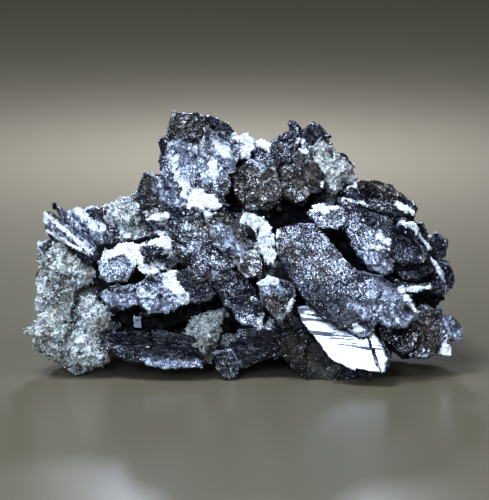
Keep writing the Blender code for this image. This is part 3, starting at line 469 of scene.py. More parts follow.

# Where the dusting of pale flecks, partly painted glints, is thick on the front, laid out as the crust is.
GLINTING_DUST_STRIPS = (
    ((1.0, 37.6), (5.6, 35.6), 2.6),
    ((9.0, 23.0), (15.0, 17.0), 4.6),
    ((12.0, 16.4), (19.0, 13.8), 3.2),
    ((-11.0, 34.0), (-6.0, 31.0), 4.0),
    ((-22.0, 18.0), (-13.0, 14.4), 2.8),
    ((-2.0, 12.0), (1.0, 8.6), 3.0),
    ((-9.6, 23.6), (-3.0, 15.0), 3.0),
    ((18.0, 25.0), (21.0, 22.0), 2.4),
    ((2.0, 17.0), (5.0, 15.0), 2.0),
)

# Where the blades are clove brown and not blue-black.
BROWN = (
    ((6.5, 23.5), (13.0, 18.0), 2.4),
    ((-11.0, 42.6), (-8.0, 40.4), 3.0),
    ((-0.2, 21.0), (0.4, 19.0), 2.6),
    ((-7.0, 25.6), (-1.0, 24.6), 2.8),
    ((-9.6, 22.4), (-6.0, 17.6), 2.6),
    ((6.6, 33.6), (9.4, 31.0), 3.4),
    ((-0.6, 33.4), (4.0, 31.6), 3.6),
    ((-15.8, 32.0), (-15.0, 28.6), 2.0),
    ((4.0, 13.6), (5.2, 11.4), 1.6),
    ((-33.4, 22.2), (-29.4, 20.6), 2.0),
    ((28.4, 9.0), (31.0, 6.0), 3.0),
    ((18.0, 33.6), (25.6, 31.0), 2.0),
    ((10.6, 34.4), (12.0, 33.0), 1.6),
    ((8.0, 5.0), (13.0, 1.0), 3.0),
)


# ---------------------------------------------------------------- patterns


def onto_floor(points):
    """The sheet's (x, v, w) as the part's (x, y, z), in mm."""
    x, v, w = np.asarray(points, float).T
    y = v * math.sin(LEAN) + w * math.cos(LEAN)
    z = v * math.cos(LEAN) - w * math.sin(LEAN)
    return np.column_stack([x, y, z]) + SHEET_ORIGIN


def eased(value):
    """3t² - 2t³ of the value held between 0 and 1."""
    held = np.clip(value, 0.0, 1.0)
    return held * held * (3 - 2 * held)


def chances(cells, salt):
    """Three even random numbers for each lattice cell: its whole numbers multiplied, shifted and mixed.

    Each salt gives its own set of numbers, so patterns with different salts have nothing in common.
    """
    x, y, z = cells.astype(np.int64).astype(np.uint32).T
    mixed = x * np.uint32(0x9E3779B1) ^ y * np.uint32(0x85EBCA77) ^ z * np.uint32(0xC2B2AE3D)
    mixed ^= np.uint32((salt * 0x27D4EB2F + 0x165667B1) & 0xFFFFFFFF)
    mixed ^= mixed >> np.uint32(15)
    mixed *= np.uint32(0x2C1B3C6D)
    mixed ^= mixed >> np.uint32(12)
    mixed *= np.uint32(0x297A2D39)
    mixed ^= mixed >> np.uint32(15)
    return np.stack([(mixed >> np.uint32(11 * i)) & np.uint32(1023) for i in range(3)], -1) / 1023.0


def near_share(corner, part):
    """How much one corner of a lattice cell counts at each place, by how near the place is to it."""
    return np.where(corner == 1, part, 1 - part).prod(1)


def clouds(points, size, salt):
    """Soft random heights from -1 to 1: lattice numbers a size apart, eased between eight corners."""
    place = points / size
    cell = np.floor(place)
    part = eased(place - cell)
    total = np.zeros(len(points))
    for corner in CORNERS:
        total += near_share(corner, part) * chances(cell + corner, salt)[:, 0]
    return 2 * total - 1


def facets(points, size, salt, calm=1):
    """Flat grains about a size across. Each point takes the height of its nearest grain's tilted plane.

    Returns the heights and the distance to the border between grains. A calm of 3 leaves most grains
    nearly level and tilts a few.
    """
    place = points / size
    cell = np.floor(place - 0.5)
    nearest = np.full(len(points), 9.0)
    second = nearest.copy()
    height = np.zeros(len(points))
    for corner in CORNERS:
        seed = cell + corner
        away = place - seed - 0.5 - 0.7 * (chances(seed, salt) - 0.5)
        far = np.sqrt((away * away).sum(1))
        tilt = chances(seed, salt + 1)
        closer = far < nearest
        second = np.where(closer, nearest, np.minimum(second, far))
        nearest = np.where(closer, far, nearest)
        height = np.where(closer, ((2 * tilt - 1) ** calm * away).sum(1), height)
    return height * size, (second - nearest) * size


def strips(spots, table):
    """How far inside the nearest strip of a table each spot lies: 1 on its middle line, 0 at its edge."""
    best = np.full(len(spots), -3.0)
    for start, end, reach in table:
        run = np.subtract(end, start)
        from_start = spots[:, :2] - start
        t = np.clip(from_start @ run / (run @ run), 0, 1)
        away = np.linalg.norm(from_start - t[:, None] * run, axis=1)
        best = np.maximum(best, 1 - away / reach)
    return best - 3 * eased((spots[:, 2] - FRONT_DEPTH) / 3)


def make_crowding(solids):
    """A function that gives how much stone fills the space round any spot, from 0 to 1.

    Every point of an even grid is 1 inside a solid and 0 outside. The grid is averaged over neighbours
    three times each way, and a spot takes the value between its eight nearest grid points.
    """
    low = np.min([s["low"] for s in solids], 0) - 4.0
    high = np.max([s["high"] for s in solids], 0) + 4.0
    shape = np.ceil((high - low) / GRID_STEP).astype(int) + 1
    filled = np.zeros(shape)
    for solid in solids:
        first = np.floor((solid["low"] - low) / GRID_STEP).astype(int)
        last = np.ceil((solid["high"] - low) / GRID_STEP).astype(int) + 1
        ids = np.stack(np.meshgrid(*map(np.arange, first, last), indexing="ij"), -1)
        depth = (ids * GRID_STEP + low) @ solid["planes"][:, :3].T - solid["planes"][:, 3]
        box = filled[tuple(map(slice, first, last))]
        box[depth.max(-1) < 0] = 1.0
    for axis in (0, 1, 2) * 3:
        filled = sum(np.roll(filled, shift, axis) for shift in range(-2, 3)) / 5
    flat = filled.ravel()
    strides = np.array([shape[1] * shape[2], shape[2], 1])

    def crowding(spots):
        place = np.clip((spots - low) / GRID_STEP, 0, shape - 1.001)
        cell = np.floor(place).astype(int)
        part = place - cell
        total = np.zeros(len(spots))
        for corner in CORNERS:
            total += near_share(corner, part) * flat[(cell + corner) @ strides]
        return total

    return crowding


def patches(spots, table, salt, rare):
    """A share from 0 to 1: the table's strips on the front, and soft patches by chance on the rest."""
    behind = eased((spots[:, 2] - FRONT_DEPTH) / 3)
    drawn = 1.4 * strips(spots, table) + 0.5 * clouds(spots, 1.3, salt)
    wild = 2.2 * clouds(spots, 5.0, salt + 1) + 0.5 * clouds(spots, 1.3, salt) - rare
    return eased(np.where(behind > 0.5, wild, drawn))


# ---------------------------------------------------------------- the blades' surfaces


def rings_of(face, inward, thick, taper, number):
    """A blade's three rings, and two directions across it: its bevelled face, widest outline and root."""
    middle = face.mean(0)
    spread = np.linalg.norm(face - middle, axis=1).mean()
    rim = RIM * min(1.0, spread / SMALL)
    inset = min(0.45, 1.2 * rim / spread)
    turn = number * GOLDEN
    side = (face[0] - middle) / np.linalg.norm(face[0] - middle)
    other = np.cross(inward, side)
    offset = 0.5 * rim * (math.cos(turn) * side + math.sin(turn) * other)
    front = middle + (face - middle) * (1 - inset) + offset
    outline = face + rim * inward
    root = middle + (face - middle) * taper + thick * inward
    return front, outline, root, side, other


def share_columns(outline, spacing):
    """The side that each column stands on and how far along it, with columns shared by the sides' lengths."""
    lengths = np.linalg.norm(np.roll(outline, -1, 0) - outline, axis=1)
    count = 8 * max(3, round(lengths.sum() / spacing / 8))
    shares = lengths / lengths.sum() * count
    whole = np.floor(shares).astype(int)
    spare = np.argsort(whole - shares, kind="stable")[: count - whole.sum()]
    whole[spare] += 1
    side = np.repeat(np.arange(len(outline)), whole)
    step = np.concatenate([np.arange(n) / n for n in whole])[:, None]
    return side, step


def square_rings(reach):
    """A square of points taken as rings about its middle: each one's ring number, and its place round it."""
    a, b = np.meshgrid(np.arange(-reach, reach + 1), np.arange(-reach, reach + 1), indexing="ij")
    ring = np.maximum(abs(a), abs(b))
    sides = [a == ring, b == ring, a == -ring]
    place = np.select(sides, [b + ring, 3 * ring - a, 5 * ring - b], 7 * ring + a)
    return ring.ravel(), (place % np.maximum(8 * ring, 1)).ravel()


def quads_of(ids):
    """The four corners of each cell of a grid of point numbers, in order round it."""
    return np.stack([ids[:-1, :-1], ids[1:, :-1], ids[1:, 1:], ids[:-1, 1:]], -1).reshape(-1, 4)


def blade_mesh(spec, number, crowding):
    """A closed, broken-edged blade. Its face is a square of rings drawn out to the face's outline.

    Rows of the same columns then go over the rim, down the sides to the root, and to a point behind it.
    Each point is moved out along the face by its growth relief and sideways by its ragged edge.
    """
    front, outline, root, side_way, other_way = rings_of(
        spec["face"], spec["inward"], spec["thick"], spec["taper"], number
    )
    side, step = share_columns(outline, BLADE_SPACING)
    count = len(side)
    reach = count // 8

    def round_it(ring):
        """A ring's own place for each column."""
        return ring[side] * (1 - step) + np.roll(ring, -1, 0)[side] * step

    ring, place = square_rings(reach)
    front_row = round_it(front)
    middle = front_row.mean(0)
    column = place * reach / np.maximum(ring, 1)
    low = np.floor(column).astype(int)
    part = (column - low)[:, None]
    edge = front_row[low % count] * (1 - part) + front_row[(low + 1) % count] * part
    inside = (ring / reach)[:, None]
    grid = middle + inside * (edge - middle)

    outline_row = round_it(outline)
    root_row = round_it(root)
    rim_parts = np.arange(1, 4) / 3
    depth = np.linalg.norm(root_row - outline_row, axis=1).mean()
    fine = np.arange(BLADE_SPACING, min(depth, FINE_WALL), BLADE_SPACING)
    coarse = np.linspace(fine[-1] if len(fine) else 0.0, depth, 5)[1:]
    wall_parts = np.concatenate([fine, coarse]) / depth
    rim_rows = front_row + rim_parts[:, None, None] * (outline_row - front_row)
    wall_rows = outline_row + wall_parts[:, None, None] * (root_row - outline_row)
    rows = np.concatenate([rim_rows, wall_rows])
    flat_rows = rows.reshape(-1, 3)
    spots = np.vstack([grid, flat_rows, root_row.mean(0)[None]])

    def per_point(on_face, on_rim, on_wall, at_root):
        """One value for each point, from those of the face, of the rim's and the sides' rows and the root."""
        rows = np.concatenate([on_rim + 0 * rim_parts, on_wall + 0 * wall_parts])
        return np.concatenate([on_face + np.zeros(len(grid)), np.repeat(rows, count), [at_root]])

    # How much each point belongs to the face and to the sides, and how deep it is behind the rim.
    face_share = per_point(1.0, 1 - rim_parts, 0.0, 0.0)
    side_share = per_point(inside[:, 0] ** 6, 1.0, 1.0, 0.0)
    behind = per_point(0.0, 0.0, wall_parts * depth, depth)
    outward = -spec["inward"]
    axis_away = (spots - middle) @ outward
    radial = spots - middle - axis_away[:, None] * outward
    radial /= np.maximum(np.linalg.norm(radial, axis=1), 1e-6)[:, None]

    crust, height, painted_shade_lines = face_relief(spots, middle, side_way, other_way, number, spec)
    ragged = side_relief(spots, behind, number, spec)
    points = (
        spots
        + (face_share * height)[:, None] * outward
        + (side_share * (ragged + 0.5 * crust * np.maximum(height, 0)))[:, None] * radial
    )

    last = len(grid)
    rim_ids = np.flatnonzero(ring == reach)
    rim_ids = rim_ids[np.argsort(place[rim_ids])]
    wall_ids = last + np.arange(len(flat_rows)).reshape(-1, count)
    ladder = np.vstack([rim_ids, wall_ids])
    ladder = np.column_stack([ladder, ladder[:, 0]])
    quads = np.vstack([quads_of(np.arange(len(grid)).reshape(2 * reach + 1, -1)), quads_of(ladder)])
    cap = np.column_stack([ladder[-1, :-1], np.full(count, len(spots) - 1), ladder[-1, 1:]])
    facing = face_share[:, None] * outward + (side_share * (1 - face_share))[:, None] * radial
    # How near each point is to the edge, where the painted rim highlight goes.
    from_rim = (1 - inside[:, 0]) * np.linalg.norm(edge - middle, axis=1)
    at_edge = np.concatenate([np.exp(-((from_rim / 0.12) ** 2)), np.exp(-behind[len(grid):] / 0.15)])
    marks = marks_of(spots, facing, crust, face_share, at_edge, crowding, spec)
    # The painted shadow lines, on the face only.
    marks["painted_shade_lines"] = painted_shade_lines * face_share
    made = shell(points, quads, cap, marks, spec["smooth"])
    made["scaly"] = np.full(len(points), spec["scaly"])
    return made


def crust_at(spots, rare):
    """How thick the white crust is, from 0 to 1: the strips with rough borders, and a few stray patches."""
    rough_edge = 0.9 * clouds(spots, 2.0, 3) + 0.8 * clouds(spots, 0.8, 5) + 0.5 * clouds(spots, 0.35, 6)
    cover = 1.3 * strips(spots, CRUST) + rough_edge + 0.1
    stray = clouds(spots, 2.4, 8) + rough_edge - rare
    return eased(np.maximum(cover, stray) * 2.0)


def face_relief(spots, middle, side_way, other_way, number, spec):
    """How thick the crust is at each spot, the height of the face's growth relief in mm, and its painted
    shadow lines.

    The relief is a saw of low ledges across the face, and flat grains of three sizes that are lively in
    patches; thin shadow lines are painted along the ledges' risers. A striated face also has long soft
    grooves, and its painted lines are instead dark streaks along them.
    """
    grit = spec["grit"]
    angle = spec.get("steps_turn", number * 2.1)
    way = math.cos(angle) * side_way + math.sin(angle) * other_way
    wander = 0.5 * clouds(spots, 2.7, number) + 0.24 * clouds(spots, 0.8, number + 40)
    across = (spots - middle) @ way / spec["tread"] + wander
    on_ledge = across - np.floor(across)
    ledge = np.floor(across) + eased(on_ledge / 0.14) - across
    # Thin painted shadow lines along the ledges' risers.
    painted_shade_lines = 0.6 * np.exp(-(((on_ledge - 0.06) / 0.06) ** 2)) * (spec["steps"] > 0)
    height = spec["steps"] * ledge * eased(0.7 + clouds(spots, 3.4, number + 20))
    big, _ = facets(spots, 2.6, 11, 3)
    middling, _ = facets(spots, 0.9, 23, 3)
    lively = grit * (0.2 + 0.8 * eased(0.4 + 1.1 * clouds(spots, 1.9, 33)))
    height = height + grit * 0.4 * big + lively * 0.6 * middling - spec["sunk"]
    if spec["stripes"]:
        x, v, _ = spots.T
        along = np.column_stack([0.05 * x, v + 0.1 * x, 0 * x])
        height = height + spec["stripes"] * (clouds(along, 0.4, 61) + clouds(along, 0.9, 63))
        # Dark streaks painted across the striated face's painted reflection.
        painted_shade_lines = eased(3.2 * clouds(along, 0.2, 65) + 1.2 * clouds(along, 1.1, 67) + 0.16 * (v - 7.0) - 0.85)

    crust = crust_at(spots, spec["bare"])
    lumpy, _ = facets(spots, 0.5, 41)
    height = height + crust * (0.1 + 0.6 * lumpy + 0.12 * clouds(spots, 0.9, 43))
    return crust, height, painted_shade_lines


def side_relief(spots, behind, number, spec):
    """How far a blade's edge stands out: thin leaves of differing widths, and chips of three sizes."""
    leaf = np.floor(behind / 0.46 + 0.5 * clouds(spots, 2.0, number + 60))
    cells = np.column_stack([leaf, np.full_like(leaf, number), np.zeros_like(leaf)])
    leaves = -0.32 * chances(cells, 71)[:, 0] * (behind > 0.05)
    chips, _ = facets(spots, 1.4, 51)
    small_chips, _ = facets(spots, 0.5, 53)
    return spec["ragged"] * (leaves + 0.26 * chips + 0.2 * small_chips)


def marks_of(spots, facing, crust, face_share, at_edge, crowding, spec):
    """The marks that the finishes read: crust, dust with painted glints, brown, blue, a painted sheen,
    hollow with its painted shade, a painted rim highlight and gloss with a painted reflection.

    Each is from 0 to 1. A hollow is where stone fills much of the space in front of a spot, and the
    finishes paint shade there. The dusting, whose pale specks are partly painted glints, is thick on
    faces that look up and along open edges, and thin in hollows and on the blades' sides.
    """
    upward = facing[:, 1] * math.cos(LEAN) - facing[:, 2] * math.sin(LEAN)
    crowd = crowding(spots + FEELER * facing)
    # Painted shade: the hollow mark darkens the colour, and thins the crust and dusting, where stone crowds
    # the space in front of a spot.
    hollow_and_painted_shade = np.maximum(eased((crowd - 0.27) / 0.33), spec["shade"])
    proud = eased((0.2 - crowd) / 0.14)
    wander = clouds(spots, 2.6, 81)
    close = clouds(spots, 1.0, 83)
    # A mirror face: glossier, and its colour carries a painted reflection.
    gleam = np.full(len(spots), float(spec["gleam"])) * face_share
    # A blue-white sheen painted into the colour, in its strips on the front and in patches elsewhere.
    painted_sheen = patches(spots, PAINTED_SHEEN_STRIPS, 85, 0.6) * (1 - gleam) * (0.3 + 0.7 * face_share)
    bare = patches(spots, BARE, 88, 0.3) * (1 - painted_sheen)
    # The dusting's pale specks are partly painted glints: thicker on faces that look up and in open places,
    # thin on sides and in hollows.
    dust = 0.5 * eased(strips(spots, GLINTING_DUST_STRIPS) + 0.4 * wander + 0.3) + spec["dust"]
    dust = dust + 0.3 * wander + 0.35 * close + 0.25 * upward + 0.3 * painted_sheen + 0.25 * proud - 0.6 * bare
    dust = np.clip(dust * (0.1 + 0.9 * face_share), 0, 1) * (1 - hollow_and_painted_shade)
    # A painted highlight along the edges, strongest on edges that look up.
    rim = at_edge * spec["rim"] * eased(0.35 + 0.9 * wander + 0.8 * close + 0.5 * upward) * (1 - hollow_and_painted_shade)
    tint = strips(spots, BROWN) * 1.5 + 0.7 * wander + spec["brown"]
    return {
        "crust": crust * (1 - 0.8 * hollow_and_painted_shade), "dust": dust, "brown": eased(tint), "blue": eased(0.2 - tint),
        "painted_sheen": painted_sheen * (1 - hollow_and_painted_shade), "hollow_and_painted_shade": hollow_and_painted_shade, "rim": rim, "gleam": gleam,
    }


def shell(points, quads, cap, marks, smooth):
    """A closed shell of triangles that faces outwards. Each quad is cut along its shorter diagonal."""
    a, b, c, d = points[quads].transpose(1, 0, 2)
    short = (np.linalg.norm(a - c, axis=1) <= np.linalg.norm(b - d, axis=1))[:, None]
    first = np.where(short, quads[:, [0, 1, 2]], quads[:, [0, 1, 3]])
    second = np.where(short, quads[:, [0, 2, 3]], quads[:, [1, 2, 3]])
    triangles = np.vstack([first, second, cap])
    p, q, r = points[triangles].transpose(1, 0, 2)
    if (p * np.cross(q, r)).sum() < 0:
        triangles = triangles[:, ::-1]
    return {"points": points, "triangles": triangles, "marks": marks, "smooth": smooth}


# ---------------------------------------------------------------- the rock's surfaces


def hull_planes(points):
    """The outward planes of the points' hull: of every three points, those with all others on one side."""
    triples = np.array(list(itertools.combinations(range(len(points)), 3)))
    a, b, c = points[triples].transpose(1, 0, 2)
    normal = np.cross(b - a, c - a)
    length = np.linalg.norm(normal, axis=1)
    a = a[length > 1e-9]
    normal = normal[length > 1e-9] / length[length > 1e-9, None]
    level = (normal * a).sum(1)
    side = points @ normal.T - level
    above = side.max(0) < 1e-5
    below = side.min(0) > -1e-5
    planes = np.vstack([
        np.column_stack([normal[above], level[above]]),
        np.column_stack([-normal[below], -level[below]]),
    ])
    return np.unique(np.round(planes, 5), axis=0)


def lump_points(number, middle, half):
    """Seeded points on an ellipsoid; their hull is a lump with broken, flat faces."""
    rng = np.random.default_rng([LUMP_SEED, number])
    spots = rng.normal(size=(LUMP_POINTS, 3))
    spots /= np.linalg.norm(spots, axis=1)[:, None]
    return np.array(middle) + spots * half * rng.uniform(0.88, 1.08, (LUMP_POINTS, 1))


def lump_mesh(number, middle, half, spacing, crowding):
    """A lump of rock. Its radius each way is that of the nearest plane of its hull, then its relief."""
    planes = hull_planes(lump_points(number, middle, half) - middle)
    rows = round(math.pi * np.mean(half) / spacing)
    count = 2 * rows
    around = np.arange(count) / count * 2 * math.pi
    down = (np.arange(1, rows) / rows * math.pi)[:, None]
    x = np.sin(down) * np.cos(around)
    v = np.cos(down) + 0 * around
    w = np.sin(down) * np.sin(around)
    ways = np.vstack([np.stack([x, v, w], -1).reshape(-1, 3), [(0, 1, 0), (0, -1, 0)]])
    facing = ways @ planes[:, :3].T
    radius = np.where(facing > 1e-3, planes[:, 3] / np.maximum(facing, 1e-3), 99.0).min(1)
    spots = middle + ways * radius[:, None]
    height, crust, dark = rock_relief(spots)
    points = spots + ways * height[:, None]
    ids = np.arange((rows - 1) * count).reshape(rows - 1, count)
    ids = np.column_stack([ids, ids[:, 0]])
    top = np.column_stack([ids[0, 1:], np.full(count, len(spots) - 2), ids[0, :-1]])
    bottom = np.column_stack([ids[-1, :-1], np.full(count, len(spots) - 1), ids[-1, 1:]])
    # Painted shade: the rock's hollows lose crust and are darkened through the dark mark.
    hollow_and_painted_shade = eased((crowding(spots + FEELER * ways) - 0.35) / 0.4)
    marks = {"crust": crust * (1 - hollow_and_painted_shade), "dark": np.maximum(dark, hollow_and_painted_shade)}
    return shell(points, quads_of(ids)[:, ::-1], np.vstack([top, bottom])[:, ::-1], marks, False)


def rock_relief(spots):
    """How far the rock's surface stands off its lump, in mm, with its white crust and its dark veins."""
    big, big_border = facets(spots, 1.9, 101)
    middling, _ = facets(spots, 0.8, 103)
    small, _ = facets(spots, 0.4, 105)
    swell = clouds(spots, 3.2, 107)
    rough = clouds(spots, 1.1, 109)
    height = 0.45 * swell + 0.2 * rough + 0.5 * big + 0.5 * middling + 0.5 * small
    height = height - 0.18 * np.exp(-((big_border / 0.14) ** 2))
    crust = eased(1.4 * clouds(spots, 2.8, 111) + 0.8 * clouds(spots, 0.8, 113) + 0.25)
    dark = eased(1.5 * clouds(spots, 2.1, 115) + 0.9 * clouds(spots, 0.6, 117) - 0.35)
    return height + 0.2 * crust, crust, dark


# ---------------------------------------------------------------- small grains


def solid_of(points):
    """A hull's outward planes, and its lowest and highest corner."""
    return {"planes": hull_planes(points), "low": points.min(0), "high": points.max(0)}


def buried(spots, own, solids):
    """Whether each spot lies inside a solid other than its own."""
    inside = np.zeros(len(spots), bool)
    for number, solid in enumerate(solids):
        near = ((spots > solid["low"]) & (spots < solid["high"])).all(1) & (own != number) & ~inside
        near = np.flatnonzero(near)
        deep = spots[near] @ solid["planes"][:, :3].T - solid["planes"][:, 3]
        inside[near] = deep.max(1) < -BURIED
    return inside


def shown_spots(rng, members, solids, density):
    """Random spots on the shells where no other solid buries them, and the way out at each.

    Triangles are drawn by their area times the density.
    """
    corners = np.concatenate([s["points"][s["triangles"]] for _, s in members])
    rate = np.concatenate([density(s)[s["triangles"]].mean(1) for _, s in members])
    own = np.concatenate([np.full(len(s["triangles"]), n) for n, s in members])
    normal = np.cross(corners[:, 1] - corners[:, 0], corners[:, 2] - corners[:, 0]) / 2
    area = np.linalg.norm(normal, axis=1)
    count = rng.poisson(area * rate)
    chosen = np.repeat(np.arange(len(corners)), count)
    weights = rng.dirichlet((1, 1, 1), len(chosen))
    spots = (corners[chosen] * weights[:, :, None]).sum(1)
    outward = normal[chosen] / np.maximum(area[chosen], 1e-9)[:, None]
    shown = ~buried(spots, own[chosen], solids)
    return spots[shown], outward[shown]


def unit(ways):
    """The same directions, each of length 1."""
    return ways / np.maximum(np.linalg.norm(ways, axis=-1, keepdims=True), 1e-9)


def grains_on(members, solids, density, size, seed, seated=0.3):
    """Small stretched eight-sided crystals on the shells' shown surfaces, as one shell.

    Each crystal's three half lengths lie along a random turn, and its middle stands a little out.
    """
    rng = np.random.default_rng(seed)
    spots, outward = shown_spots(rng, members, solids, density)
    number = len(spots)
    scale = size * rng.lognormal(0, 0.35, number)
    first = unit(rng.normal(size=(number, 3)) + 1.2 * outward)
    second = unit(np.cross(first, rng.normal(size=(number, 3))))
    third = np.cross(first, second)
    half = scale[:, None] * np.column_stack([
        rng.uniform(0.7, 1.3, number), rng.uniform(0.4, 0.6, number), rng.uniform(0.25, 0.5, number),
    ])
    arms = np.stack([first * half[:, :1], second * half[:, 1:2], third * half[:, 2:]], 1)
    middle = spots + seated * scale[:, None] * outward
    points = middle[:, None] + np.concatenate([arms, -arms], 1)
    octahedron = np.array([
        (0, 1, 2), (1, 3, 2), (3, 4, 2), (4, 0, 2), (1, 0, 5), (3, 1, 5), (4, 3, 5), (0, 4, 5),
    ])
    triangles = octahedron + 6 * np.arange(number)[:, None, None]
    marks = {
        "crust": np.repeat(eased(rng.uniform(-0.3, 1.6, number)), 6),
        "dark": np.repeat(eased(rng.uniform(-1.6, 1.0, number)), 6),
    }
    return {
        "points": points.reshape(-1, 3), "triangles": triangles.reshape(-1, 3),
        "marks": marks, "smooth": False,
    }


def young_blades(members, solids, density, crowding, seed):
    """Small axe-edged plates that lie like scales on the shells' shown surfaces, as one shell.

    Each is four rings of the axe outline: a face that is drawn in, the widest outline under it, and two
    rings that sink into the surface. Its face tilts off the surface, and its length follows the growth.
    """
    rng = np.random.default_rng(seed)
    spots, outward = shown_spots(rng, members, solids, density)
    number = len(spots)
    length = np.minimum(rng.lognormal(-0.2, 0.4, number), YOUNG_LIMIT)
    up = unit(outward + 0.42 * rng.normal(size=(number, 3)))
    along = np.array(GROWTH) + 0.45 * rng.normal(size=(number, 3))
    along = unit(along - (along * up).sum(1)[:, None] * up)
    beside = np.cross(up, along)
    width = length * rng.uniform(0.5, 0.8, number)
    thick = length * rng.uniform(0.16, 0.34, number)
    axe = np.array(AXE) * rng.uniform(0.75, 1.1, (number, 6, 1))
    flat = axe[:, :, :1] * (length / 2)[:, None, None] * along[:, None] \
        + axe[:, :, 1:] * (width / 2)[:, None, None] * beside[:, None]
    rings = [
        spots[:, None] + shrink * flat + (rise * thick)[:, None, None] * up[:, None]
        for shrink, rise in ((0.84, 0.62), (1.0, 0.36), (0.94, -0.5), (0.6, -1.1))
    ]
    points = np.stack(rings, 1).reshape(-1, 3)
    corner = np.arange(6)
    after = (corner + 1) % 6
    sides = [
        np.column_stack([a, a + 6, b, b, a + 6, b + 6]).reshape(-1, 3)
        for a, b in ((corner + 6 * ring, after + 6 * ring) for ring in range(3))
    ]
    fan = np.column_stack([np.zeros(4, int), np.arange(1, 5), np.arange(2, 6)])
    one = np.vstack([fan, *sides, 18 + fan[:, ::-1]])
    triangles = one + 24 * np.arange(number)[:, None, None]
    facing = np.repeat(up, 24, axis=0)
    face_share = np.tile(np.repeat([1.0, 0.7, 0.0, 0.0], 6), number)
    # Where the painted rim highlight goes on each plate.
    at_edge = np.tile(np.repeat([0.2, 1.0, 0.0, 0.0], 6), number)
    crust = crust_at(points, PLAIN["bare"])
    marks = marks_of(points, facing, crust, face_share, at_edge, crowding, YOUNG)
    marks["painted_shade_lines"] = np.zeros(len(points))
    return {"points": points, "triangles": triangles.reshape(-1, 3), "marks": marks, "smooth": False}


# ---------------------------------------------------------------- finishes


def connect(tree, socket, value):
    """Links a socket to another one, or sets its value."""
    if isinstance(value, bpy.types.NodeSocket):
        tree.links.new(value, socket)
    else:
        socket.default_value = value


def put(tree, kind, inputs=None, **settings):
    """A shader node with its settings, and its inputs set or linked."""
    made = tree.nodes.new("ShaderNode" + kind)
    for name, value in settings.items():
        setattr(made, name, value)
    for name, value in (inputs or {}).items():
        connect(tree, made.inputs[name], value)
    return made


def effect(name, takes, gives):
    """A new node group with its inputs and outputs, and the nodes that stand for them."""
    tree = bpy.data.node_groups.new(name, "ShaderNodeTree")
    for label, kind, value in takes:
        made = tree.interface.new_socket(label, in_out="INPUT", socket_type="NodeSocket" + kind)
        if value is not None:
            made.default_value = value
    for label, kind in gives:
        tree.interface.new_socket(label, in_out="OUTPUT", socket_type="NodeSocket" + kind)
    start = tree.nodes.new("NodeGroupInput")
    end = tree.nodes.new("NodeGroupOutput")
    return tree, start.outputs, end.inputs


def make_mottle():
    """Soft patches: noise of a given size in mm, sharpened between two levels."""
    tree, given, out = effect(
        "mottle",
        [("Place", "Vector", None), ("Size", "Float", 1.0), ("Low", "Float", 0.4), ("High", "Float", 0.6)],
        [("Mask", "Float")],
    )
    scale = put(tree, "Math", {0: 1.0, 1: given["Size"]}, operation="DIVIDE")
    noise = put(tree, "TexNoise", {"Vector": given["Place"], "Scale": scale.outputs[0], "Detail": 4.0})
    ranged = put(
        tree, "MapRange",
        {"Value": noise.outputs["Fac"], "From Min": given["Low"], "From Max": given["High"]},
        interpolation_type="SMOOTHSTEP",
    )
    tree.links.new(ranged.outputs["Result"], out["Mask"])
    return tree


def make_flecks():
    """Angular pale specks: fine noise of a size in mm, kept where it is over a level a share lowers."""
    tree, given, out = effect(
        "flecks",
        [("Place", "Vector", None), ("Size", "Float", 0.3), ("Share", "Float", 0.3)],
        [("Mask", "Float")],
    )
    scale = put(tree, "Math", {0: 1.0, 1: given["Size"]}, operation="DIVIDE")
    noise = put(
        tree, "TexNoise",
        {"Vector": given["Place"], "Scale": scale.outputs[0], "Detail": 2.0, "Distortion": 0.8},
    )
    lowered = put(tree, "Math", {0: given["Share"], 1: -0.2, 2: 0.75}, operation="MULTIPLY_ADD")
    over = put(tree, "Math", {0: lowered.outputs[0], 1: 0.05}, operation="ADD")
    mask = put(
        tree, "MapRange",
        {"Value": noise.outputs["Fac"], "From Min": lowered.outputs[0], "From Max": over.outputs[0]},
    )
    tree.links.new(mask.outputs["Result"], out["Mask"])
    return tree


def make_glints():
    """Tiny flat grains: the height of each cell's own tilted plane, in mm, and a number per cell."""
    tree, given, out = effect(
        "glints",
        [("Place", "Vector", None), ("Size", "Float", 0.25), ("Tilt", "Float", 0.5)],
        [("Height", "Float"), ("Shade", "Float")],
    )
    scale = put(tree, "Math", {0: 1.0, 1: given["Size"]}, operation="DIVIDE")
    cells = put(tree, "TexVoronoi", {"Vector": given["Place"], "Scale": scale.outputs[0]})
    away = put(tree, "VectorMath", {0: given["Place"], 1: cells.outputs["Position"]}, operation="SUBTRACT")
    tilt = put(tree, "VectorMath", {0: cells.outputs["Color"], 1: (0.5, 0.5, 0.5)}, operation="SUBTRACT")
    squared = put(tree, "VectorMath", {0: tilt.outputs[0], 1: tilt.outputs[0]}, operation="MULTIPLY")
    calm = put(tree, "VectorMath", {0: tilt.outputs[0], 1: squared.outputs[0]}, operation="MULTIPLY")
    height = put(tree, "VectorMath", {0: away.outputs[0], 1: calm.outputs[0]}, operation="DOT_PRODUCT")
    scaled = put(tree, "Math", {0: height.outputs["Value"], 1: given["Tilt"]}, operation="MULTIPLY")
    split = put(tree, "SeparateColor", {"Color": cells.outputs["Color"]})
    tree.links.new(scaled.outputs[0], out["Height"])
    tree.links.new(split.outputs["Blue"], out["Shade"])
    return tree


